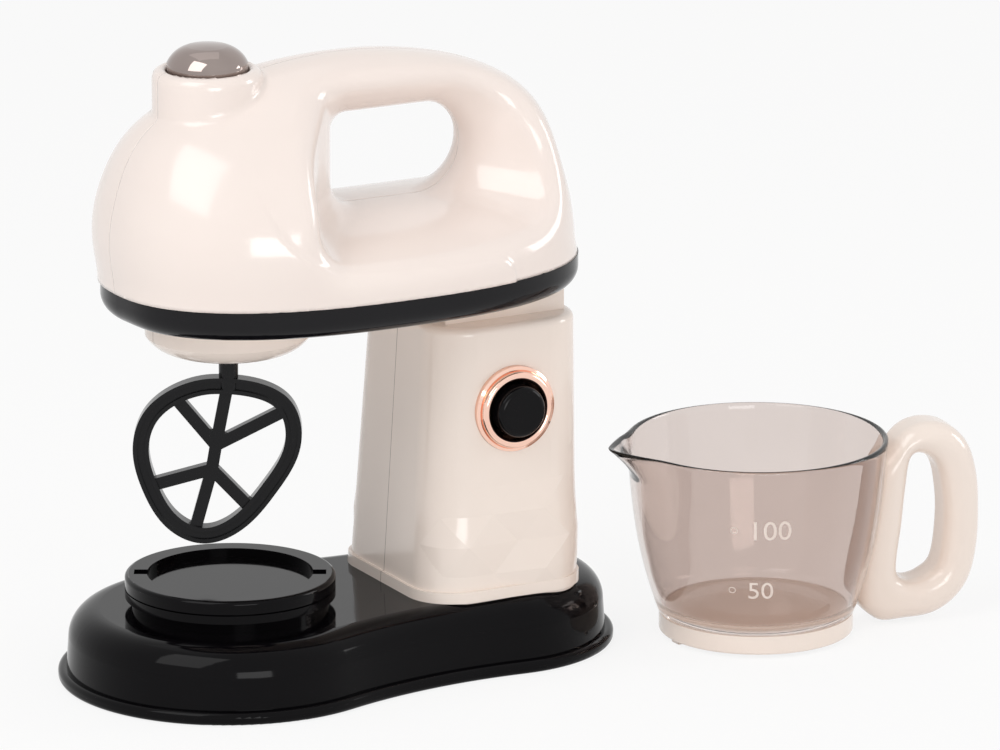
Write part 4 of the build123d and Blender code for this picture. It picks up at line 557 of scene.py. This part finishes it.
# Bowl: one wall turned round its axis, drawn out to a beak at the rim. The profile is radius and height.
BOWL_X = 166.8
BOWL_Y = -35.5
BOWL_TURN = radians(-11.0)
BOWL_WALL = 1.8
BOWL_PROFILE = [(30.8, 7.2), (32.4, 12.0), (35.4, 21.5), (38.3, 36.0), (39.8, 48.0), (41.2, 63.4)]
BOWL_RIM_R = 41.2
BOWL_RIM_Z = 63.4
BOWL_UNDER_Z = 7.15
BOWL_FLOOR_Z = 9.2
BOWL_FILLET = 3.0
SPOUT_REACH = 49.3
SPOUT_HALF_ANGLE = radians(21.0)
SPOUT_LOW_Z = 52.0
SPOUT_SOFT = 0.06
SPOUT_FADE_START = 0.7
SPOUT_FLARE = 1.6
FLOOR_RISE = 0.35
BOWL_SIDES = 224
BOWL_FIT = np.polyfit([z for r, z in BOWL_PROFILE], [r for r, z in BOWL_PROFILE], 4)


def bowl_radius(angle, z):
    """The bowl's outer radius at an angle from the handle's side, in millimetres."""
    from_beak = abs((angle % (2 * pi)) - pi)
    across = BOWL_RIM_R * sin(SPOUT_HALF_ANGLE)
    ahead = SPOUT_REACH - BOWL_RIM_R * cos(SPOUT_HALF_ANGLE)
    line = Vector((across, ahead)).normalized()
    spread = sqrt(sin(from_beak) ** 2 + SPOUT_SOFT**2)
    edge = SPOUT_REACH * (line.x + line.y * SPOUT_SOFT) / max(line.x * cos(from_beak) + line.y * spread, 0.2)
    fade = 1.0 - float(smooth_step(from_beak / SPOUT_HALF_ANGLE - SPOUT_FADE_START))
    extra = max(edge - BOWL_RIM_R, 0.0) * fade
    rise = min(max((z - SPOUT_LOW_Z) / (BOWL_RIM_Z - SPOUT_LOW_Z), 0.0), 1.0)
    return float(np.polyval(BOWL_FIT, z)) + extra * rise**SPOUT_FLARE


def bowl_path():
    """The wall's section: height, how far in from the outer surface, and the share of the radius kept."""
    path = [(BOWL_UNDER_Z, 1.2, share) for share in (0.1, 0.4, 0.8, 1.0)]
    path += [(BOWL_UNDER_Z + 0.25, 0.5, 1.0), (BOWL_UNDER_Z + 0.9, 0.0, 1.0)]
    lip = BOWL_WALL / 2
    heights = np.linspace(BOWL_UNDER_Z + 2.5, BOWL_RIM_Z - lip, 40)
    path += [(z, 0.0, 1.0) for z in heights]
    for turn in np.linspace(0, pi, 7)[1:-1]:
        path.append((BOWL_RIM_Z - lip + lip * sin(turn), lip - lip * cos(turn), 1.0))
    path += [(z, BOWL_WALL, 1.0) for z in heights[:0:-1] if z > BOWL_FLOOR_Z + BOWL_FILLET]
    for turn in np.linspace(0, pi / 2, 6):
        drop = BOWL_FILLET * (1 - sin(turn))
        path.append((BOWL_FLOOR_Z + drop, BOWL_WALL + BOWL_FILLET * (1 - cos(turn)), 1.0))
    path += [(BOWL_FLOOR_Z, BOWL_WALL + BOWL_FILLET, share) for share in (0.9, 0.87)]
    path += [(BOWL_FLOOR_Z + FLOOR_RISE, BOWL_WALL + BOWL_FILLET, share) for share in (0.86, 0.5, 0.1)]
    return path


def on_bowl(angle, z, inward=0.0, share=1.0):
    """The point at that angle and height, inward millimetres from the bowl's outer surface."""
    reach = (bowl_radius(angle, z) - inward) * share
    turn = BOWL_TURN + angle
    return Vector((BOWL_X + reach * cos(turn), BOWL_Y + reach * sin(turn), z)) * MM


def build_bowl():
    """The clear bowl, as rings along its section with a fan at each end."""
    shape = bmesh.new()
    rings = []
    angles = [2 * pi * n / BOWL_SIDES for n in range(BOWL_SIDES)]
    for z, inward, share in bowl_path():
        rings.append([shape.verts.new(on_bowl(angle, z, inward, share)) for angle in angles])
    for lower, upper in zip(rings, rings[1:]):
        for n in range(BOWL_SIDES):
            after = (n + 1) % BOWL_SIDES
            shape.faces.new((lower[n], lower[after], upper[after], upper[n]))
    for ring, z in ((rings[0], BOWL_UNDER_Z), (rings[-1], BOWL_FLOOR_Z + FLOOR_RISE)):
        middle = shape.verts.new(Vector((BOWL_X, BOWL_Y, z)) * MM)
        for n in range(BOWL_SIDES):
            shape.faces.new((ring[n], ring[(n + 1) % BOWL_SIDES], middle))
    bmesh.ops.recalc_face_normals(shape, faces=shape.faces[:])
    finish_piece("bowl_clear", shape, "bowl", "bowl_smoke", "bowl")


build_bowl()

# Graduations: thin numbers and round marks, raised a little from the bowl's wall.
# Numbers: text, size, height and angle of their start. Round marks: height and angle.
MARK_LINE = 0.12
MARK_THIN = 0.012
MARK_RAISE = 0.05
MARK_WIDE = 1.05
MARKS = [("100", 8.8, 41.1, radians(-112.6)), ("50", 8.0, 21.1, radians(-113.2))]
DOTS = [(44.1, radians(-118.9)), (23.8, radians(-120.6))]
DOT_R = 0.95
DOT_SIDES = 24


def mark_material():
    """Frosted lines on the clear wall, a little lighter than it."""
    material, nodes, links, shader = start_material("bowl_mark_look")
    tone = ramp_between(nodes, links, add_noise(nodes, links, 4.0), srgb(226, 210, 200), srgb(234, 220, 211))
    links.new(tone, shader.inputs["Base Color"])
    vary_roughness(nodes, links, shader, 0.25, 0.35, 6.0)
    return material


def bend_onto_bowl(piece, angle, z):
    """Wraps a flat mesh, drawn in millimetres, round the bowl's wall at that place."""
    for point in piece.data.vertices:
        height = z + point.co.y
        turn = angle + MARK_WIDE * point.co.x / bowl_radius(angle, height)
        point.co = on_bowl(turn, height, -MARK_RAISE - point.co.z)


def finish_mark(name, curve, angle, z):
    """Turns a curve into a mesh, wraps it round the wall and gives it the frosted look."""
    drawn = link_object("drawn_" + name, curve)
    mesh = bpy.data.meshes.new_from_object(drawn)
    bpy.data.objects.remove(drawn)
    piece = link_object(name, mesh)
    bend_onto_bowl(piece, angle, z)
    mesh.materials.clear()
    mesh.materials.append(MARK_LOOK)
    for face in mesh.polygons:
        face.use_smooth = True
    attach(piece, "bowl")


def build_marks():
    """The numbers, and the round mark beside each."""
    for text, size, z, angle in MARKS:
        curve = bpy.data.curves.new("number_" + text, "FONT")
        curve.body = text
        curve.size = size
        curve.extrude = MARK_LINE
        curve.offset = -MARK_THIN
        curve.resolution_u = 6
        curve.align_x = "LEFT"
        finish_mark("number_" + text, curve, angle, z)
    for count, (z, angle) in enumerate(DOTS):
        curve = bpy.data.curves.new("dot", "CURVE")
        curve.dimensions = "3D"
        curve.bevel_depth = MARK_LINE
        line = curve.splines.new("POLY")
        turns = np.linspace(0, 2 * pi, DOT_SIDES, endpoint=False)
        line.points.add(DOT_SIDES - 1)
        for point, turn in zip(line.points, turns):
            point.co = (DOT_R * cos(turn), DOT_R * sin(turn), 0.0, 1.0)
        line.use_cyclic_u = True
        finish_mark(f"mark_{count + 1}", curve, angle, z)


MARK_LOOK = mark_material()
build_marks()

# Bowl's handle: a puffy loop that stands against the wall. Its lines are distance from the axis and height.
HANDLE_HALF = 8.8
HANDLE_ROUND = 5.6
HANDLE_STEP = 0.95
HANDLE_GAP = 0.08
HANDLE_EDGE = 0.5
HANDLE_NET_LOW = (28.0, -11.0, -1.0)
HANDLE_NET_HIGH = (75.0, 11.0, 68.0)
HANDLE_OUTLINE = [
    (37.0, 47.0), (32.0, 13.0), (38.0, 2.0), (48.0, 1.2), (57.5, 2.2), (65.0, 6.8), (69.8, 14.0),
    (72.0, 24.5), (72.4, 36.0), (71.6, 47.0), (68.6, 56.8), (62.6, 63.0), (55.0, 64.9), (48.0, 62.9),
    (42.6, 57.0),
]
HANDLE_WINDOW = [
    (46.7, 32.0), (45.2, 20.6), (45.7, 15.6), (49.6, 13.5), (55.0, 14.8), (59.2, 19.0), (60.8, 32.0),
    (60.2, 42.5), (58.2, 50.6), (53.8, 54.6), (49.5, 53.6), (47.8, 43.0),
]


def rounded_loop(corners, steps=6):
    """A closed smooth line through the corners."""
    points = np.array(corners)
    line = []
    for n in range(len(points)):
        before, here, after, beyond = (points[(n + move) % len(points)] for move in (-1, 0, 1, 2))
        for t in np.arange(steps) / steps:
            near = 2 * here + (after - before) * t
            far = (2 * before - 5 * here + 4 * after - beyond) * t**2
            line.append(0.5 * (near + far + (3 * here - before - 3 * after + beyond) * t**3))
    return np.array(line)


def loop_distance(loop, points):
    """Distance from a closed line in its plane, negative inside."""
    best = np.full(len(points), 1e9)
    inside = np.zeros(len(points), dtype=bool)
    for start, end in zip(loop, np.roll(loop, -1, axis=0)):
        edge = end - start
        share = np.clip(((points - start) @ edge) / (edge @ edge), 0, 1)
        best = np.minimum(best, np.linalg.norm(points - start - share[:, None] * edge, axis=1))
        crosses = (start[1] > points[:, 1]) != (end[1] > points[:, 1])
        where = start[0] + (points[:, 1] - start[1]) * edge[0] / (edge[1] if edge[1] else 1e-9)
        inside ^= crosses & (points[:, 0] < where)
    return np.where(inside, -best, best)


HANDLE_LOOPS = [rounded_loop(HANDLE_OUTLINE), rounded_loop(HANDLE_WINDOW)]


def handle_field(points):
    """The handle's loop in its own frame: out from the bowl's axis, across, and up."""
    flat = points[:, [0, 2]]
    outline, window = (loop_distance(loop, flat) for loop in HANDLE_LOOPS)
    face = np.maximum(outline, -window) + HANDLE_ROUND
    side = np.abs(points[:, 1]) - HANDLE_HALF + HANDLE_ROUND
    outside = np.hypot(np.maximum(face, 0), np.maximum(side, 0))
    puffy = outside + np.minimum(np.maximum(face, side), 0) - HANDLE_ROUND
    wall = np.polyval(BOWL_FIT, np.clip(points[:, 2], BOWL_UNDER_Z, BOWL_RIM_Z)) + HANDLE_GAP
    return smooth_max(puffy, wall - np.hypot(points[:, 0], points[:, 1]), HANDLE_EDGE)


def build_handle():
    """The handle's loop, turned to its place round the bowl."""
    points, quads = surface_net(handle_field, HANDLE_NET_LOW, HANDLE_NET_HIGH, HANDLE_STEP)
    turned = points.copy()
    turned[:, 0] = BOWL_X + points[:, 0] * cos(BOWL_TURN) - points[:, 1] * sin(BOWL_TURN)
    turned[:, 1] = BOWL_Y + points[:, 0] * sin(BOWL_TURN) + points[:, 1] * cos(BOWL_TURN)
    shape = net_mesh("bowl_handle_loop", turned, quads)
    finish_piece("bowl_handle_loop", shape, "bowl", "column_cream", "bowl_handle")


build_handle()

# Facets: shallow tilted faces round the foot of the column, on rows of triangles.
# The column's front, rear and half width are given at its foot and at its top.
FACET_WIDE = 17.4
FACET_TALL = 9.5
FACET_START = 48.8
FACET_LOW_Z = 21.3
FACET_ROWS = 4
FACET_COLUMNS = 4
FACET_PROUD = (0.2, 1.4, 0.6, 1.8)
FACET_SUNK = -0.05
FACET_STEPS = 8
BASE_TOP_Z = 22.8
COLUMN_TOP_Z = 109.0
COLUMN_FRONT = (53.2, 58.8)
COLUMN_REAR = (109.2, 110.0)
COLUMN_HALF = (33.0, 29.6)
COLUMN_CORNER_R = 14.0
COLUMN_WELLS = [(66.0, 48.0), (99.0, 48.0)]
WELL_ROOM_R = 3.2


def on_column(along, z, side, proud):
    """A point on the column's side face, round its corners or on its back, proud of it by a little."""
    share = (z - BASE_TOP_Z) / (COLUMN_TOP_Z - BASE_TOP_Z)
    front, rear, half = (low + (top - low) * share for low, top in (COLUMN_FRONT, COLUMN_REAR, COLUMN_HALF))
    front_bend, rear_bend = front + COLUMN_CORNER_R, rear - COLUMN_CORNER_R
    flank = half - COLUMN_CORNER_R
    reach = COLUMN_CORNER_R + proud
    if along < front_bend:
        turn = min((front_bend - along) / COLUMN_CORNER_R, pi / 2)
        place = (front_bend - reach * sin(turn), flank + reach * cos(turn))
    elif along < rear_bend:
        place = (along, half + proud)
    elif along < rear_bend + COLUMN_CORNER_R * pi / 2:
        turn = (along - rear_bend) / COLUMN_CORNER_R
        place = (rear_bend + reach * sin(turn), flank + reach * cos(turn))
    else:
        place = (rear + proud, flank - (along - rear_bend - COLUMN_CORNER_R * pi / 2))
    return Vector((place[0], side * place[1], z)) * MM


def facet_height(column, row):
    """How far a corner of the facets stands proud; the pattern's border lies just under the surface."""
    if row in (0, FACET_ROWS) or column in (0, FACET_COLUMNS):
        return FACET_SUNK
    return FACET_PROUD[(3 * column + 5 * row) % len(FACET_PROUD)]


def clear_well(along, z, proud):
    """The same place, moved to the rim of a screw well where it lies over one, and whether it was moved."""
    for well_x, well_z in COLUMN_WELLS:
        off = max(hypot(along - well_x, z - well_z), 0.01)
        if off < WELL_ROOM_R:
            scale = WELL_ROOM_R / off
            return (well_x + (along - well_x) * scale, well_z + (z - well_z) * scale, FACET_SUNK), True
    return (along, z, proud), False


def add_facet(shape, corners, side, wells):
    """One facet, divided so that it follows the column round its corners and keeps off its screw wells."""
    grid = {}
    moved = set()
    for i in range(FACET_STEPS + 1):
        for j in range(FACET_STEPS + 1 - i):
            shares = (FACET_STEPS - i - j, i, j)
            place = tuple(sum(s * c[n] for s, c in zip(shares, corners)) / FACET_STEPS for n in range(3))
            if wells:
                place, was_moved = clear_well(*place)
                if was_moved:
                    moved.add((i, j))
            along, z, proud = place
            grid[i, j] = shape.verts.new(on_column(along, z, side, proud))
    for i in range(FACET_STEPS):
        for j in range(FACET_STEPS - i):
            rings = [[(i, j), (i + 1, j), (i, j + 1)]]
            if i + j < FACET_STEPS - 1:
                rings.append([(i + 1, j), (i + 1, j + 1), (i, j + 1)])
            for ring in rings:
                if not moved.issuperset(ring):
                    shape.faces.new([grid[key] for key in ring])


def face_outwards(shape):
    """Turns every face away from the column's middle."""
    shape.normal_update()
    middle_x = (COLUMN_FRONT[0] + COLUMN_REAR[0]) / 2 * MM
    for face in shape.faces:
        middle = face.calc_center_median()
        if face.normal.dot(Vector((middle.x - middle_x, middle.y, 0.0))) < 0:
            face.normal_flip()


def build_facets():
    """The facets of both sides. Neighbours meet at the same corners, so there are no steps between them."""
    for name, side, wells in (("column_facets_left", -1, False), ("column_facets_right", 1, True)):
        shape = bmesh.new()
        for row in range(FACET_ROWS):
            for column in range(FACET_COLUMNS):
                corners = [(column, row), (column + 1, row), (column, row + 1), (column + 1, row + 1)]
                places = []
                for step, level in corners:
                    along = FACET_START + FACET_WIDE * (step + 0.5 * (level % 2))
                    places.append((along, FACET_LOW_Z + FACET_TALL * level, facet_height(step, level)))
                first = (0, 1, 2) if row % 2 == 0 else (0, 1, 3)
                second = (1, 3, 2) if row % 2 == 0 else (0, 3, 2)
                for triangle in (first, second):
                    add_facet(shape, [places[n] for n in triangle], side, wells)
        face_outwards(shape)
        finish_piece(name, shape, "stand", "column_cream")


build_facets()


# Studio: floor, lamps, world and camera
FLOOR_HALF = 12.0
FLOOR_GREY = 0.9
FLOOR_SHARE = 0.84
AIR_STRENGTH = 0.57


def white_for_the_eye(tree, white_socket, other_socket, output_socket, share=1.0):
    """Shows white to camera, mirror and glass rays by share, and the other shader for the rest."""
    nodes, links = tree.nodes, tree.links
    path = nodes.new("ShaderNodeLightPath")
    glossy = nodes.new("ShaderNodeMath")
    glossy.operation = "MAXIMUM"
    links.new(path.outputs["Is Camera Ray"], glossy.inputs[0])
    links.new(path.outputs["Is Glossy Ray"], glossy.inputs[1])
    seen = nodes.new("ShaderNodeMath")
    seen.operation = "MAXIMUM"
    links.new(glossy.outputs[0], seen.inputs[0])
    links.new(path.outputs["Is Transmission Ray"], seen.inputs[1])
    part = nodes.new("ShaderNodeMath")
    part.operation = "MULTIPLY"
    links.new(seen.outputs[0], part.inputs[0])
    part.inputs[1].default_value = share
    mix = nodes.new("ShaderNodeMixShader")
    links.new(part.outputs[0], mix.inputs["Fac"])
    links.new(other_socket, mix.inputs[1])
    links.new(white_socket, mix.inputs[2])
    links.new(mix.outputs[0], output_socket)


def build_floor():
    """A wide pale floor that keeps soft shadows."""
    shape = bmesh.new()
    bmesh.ops.create_grid(shape, x_segments=8, y_segments=8, size=FLOOR_HALF)
    mesh = bpy.data.meshes.new("floor")
    shape.to_mesh(mesh)
    shape.free()
    floor = link_object("floor", mesh)
    material = bpy.data.materials.new("floor_white")
    material.use_nodes = True
    tree = material.node_tree
    tree.nodes.clear()
    output = tree.nodes.new("ShaderNodeOutputMaterial")
    matt = tree.nodes.new("ShaderNodeBsdfDiffuse")
    matt.inputs["Color"].default_value = (FLOOR_GREY, FLOOR_GREY, FLOOR_GREY, 1.0)
    glow = tree.nodes.new("ShaderNodeEmission")
    glow.inputs["Color"].default_value = (1.0, 1.0, 1.0, 1.0)
    white_for_the_eye(tree, glow.outputs[0], matt.outputs[0], output.inputs["Surface"], FLOOR_SHARE)
    mesh.materials.append(material)


def build_world():
    """Soft light from everywhere, which the eye sees as white."""
    world = bpy.data.worlds.new("studio")
    bpy.context.scene.world = world
    world.use_nodes = True
    tree = world.node_tree
    tree.nodes.clear()
    output = tree.nodes.new("ShaderNodeOutputWorld")
    air = tree.nodes.new("ShaderNodeBackground")
    air.inputs["Color"].default_value = (1.0, 0.99, 0.98, 1.0)
    air.inputs["Strength"].default_value = AIR_STRENGTH
    white = tree.nodes.new("ShaderNodeBackground")
    white.inputs["Color"].default_value = (1.0, 1.0, 1.0, 1.0)
    white_for_the_eye(tree, white.outputs[0], air.outputs[0], output.inputs["Surface"])


# Softboxes: direction towards the box, then its distance, width, height and power
BOXES = {
    "softbox_left": ((-0.62, -0.25, 0.74), 1.6, 0.95, 1.2, 9.5),
    "softbox_right": ((0.92, -0.29, 0.27), 1.7, 0.5, 0.6, 5.0),
    "softbox_front": ((-0.2, -0.97, 0.03), 1.9, 0.8, 0.8, 9.5),
    "softbox_top": ((0.05, 0.25, 0.97), 1.8, 1.2, 1.2, 1.2),
}
LIGHT_TARGET = Vector((0.06, 0.0, 0.12))


def build_lamps():
    """The softboxes, all turned to the middle of the mixer."""
    for name, (towards, distance, width, height, power) in BOXES.items():
        lamp = bpy.data.lights.new(name, "AREA")
        lamp.shape = "RECTANGLE"
        lamp.size = width
        lamp.size_y = height
        lamp.energy = power
        box = link_object(name, lamp)
        direction = Vector(towards).normalized()
        box.location = LIGHT_TARGET + direction * distance
        box.rotation_euler = direction.to_track_quat("Z", "Y").to_euler()


def build_camera():
    """The camera, level with the horizon, at its place and angle."""
    camera = bpy.data.cameras.new("camera")
    camera.lens = CAMERA_LENS
    camera.sensor_width = SENSOR_WIDTH
    camera.clip_end = CAMERA_SIGHT
    eye = link_object("camera", camera)
    back = Vector(
        (
            sin(CAMERA_AZIMUTH) * cos(CAMERA_ELEVATION),
            -cos(CAMERA_AZIMUTH) * cos(CAMERA_ELEVATION),
            sin(CAMERA_ELEVATION),
        )
    )
    right = Vector((cos(CAMERA_AZIMUTH), sin(CAMERA_AZIMUTH), 0.0))
    up = back.cross(right)
    turn = Matrix((right, up, back)).transposed()
    eye.matrix_world = Matrix.Translation(CAMERA_PLACE) @ turn.to_4x4()
    bpy.context.scene.camera = eye


build_floor()
build_world()
build_lamps()
build_camera()
bpy.context.scene.view_settings.view_transform = "Standard"
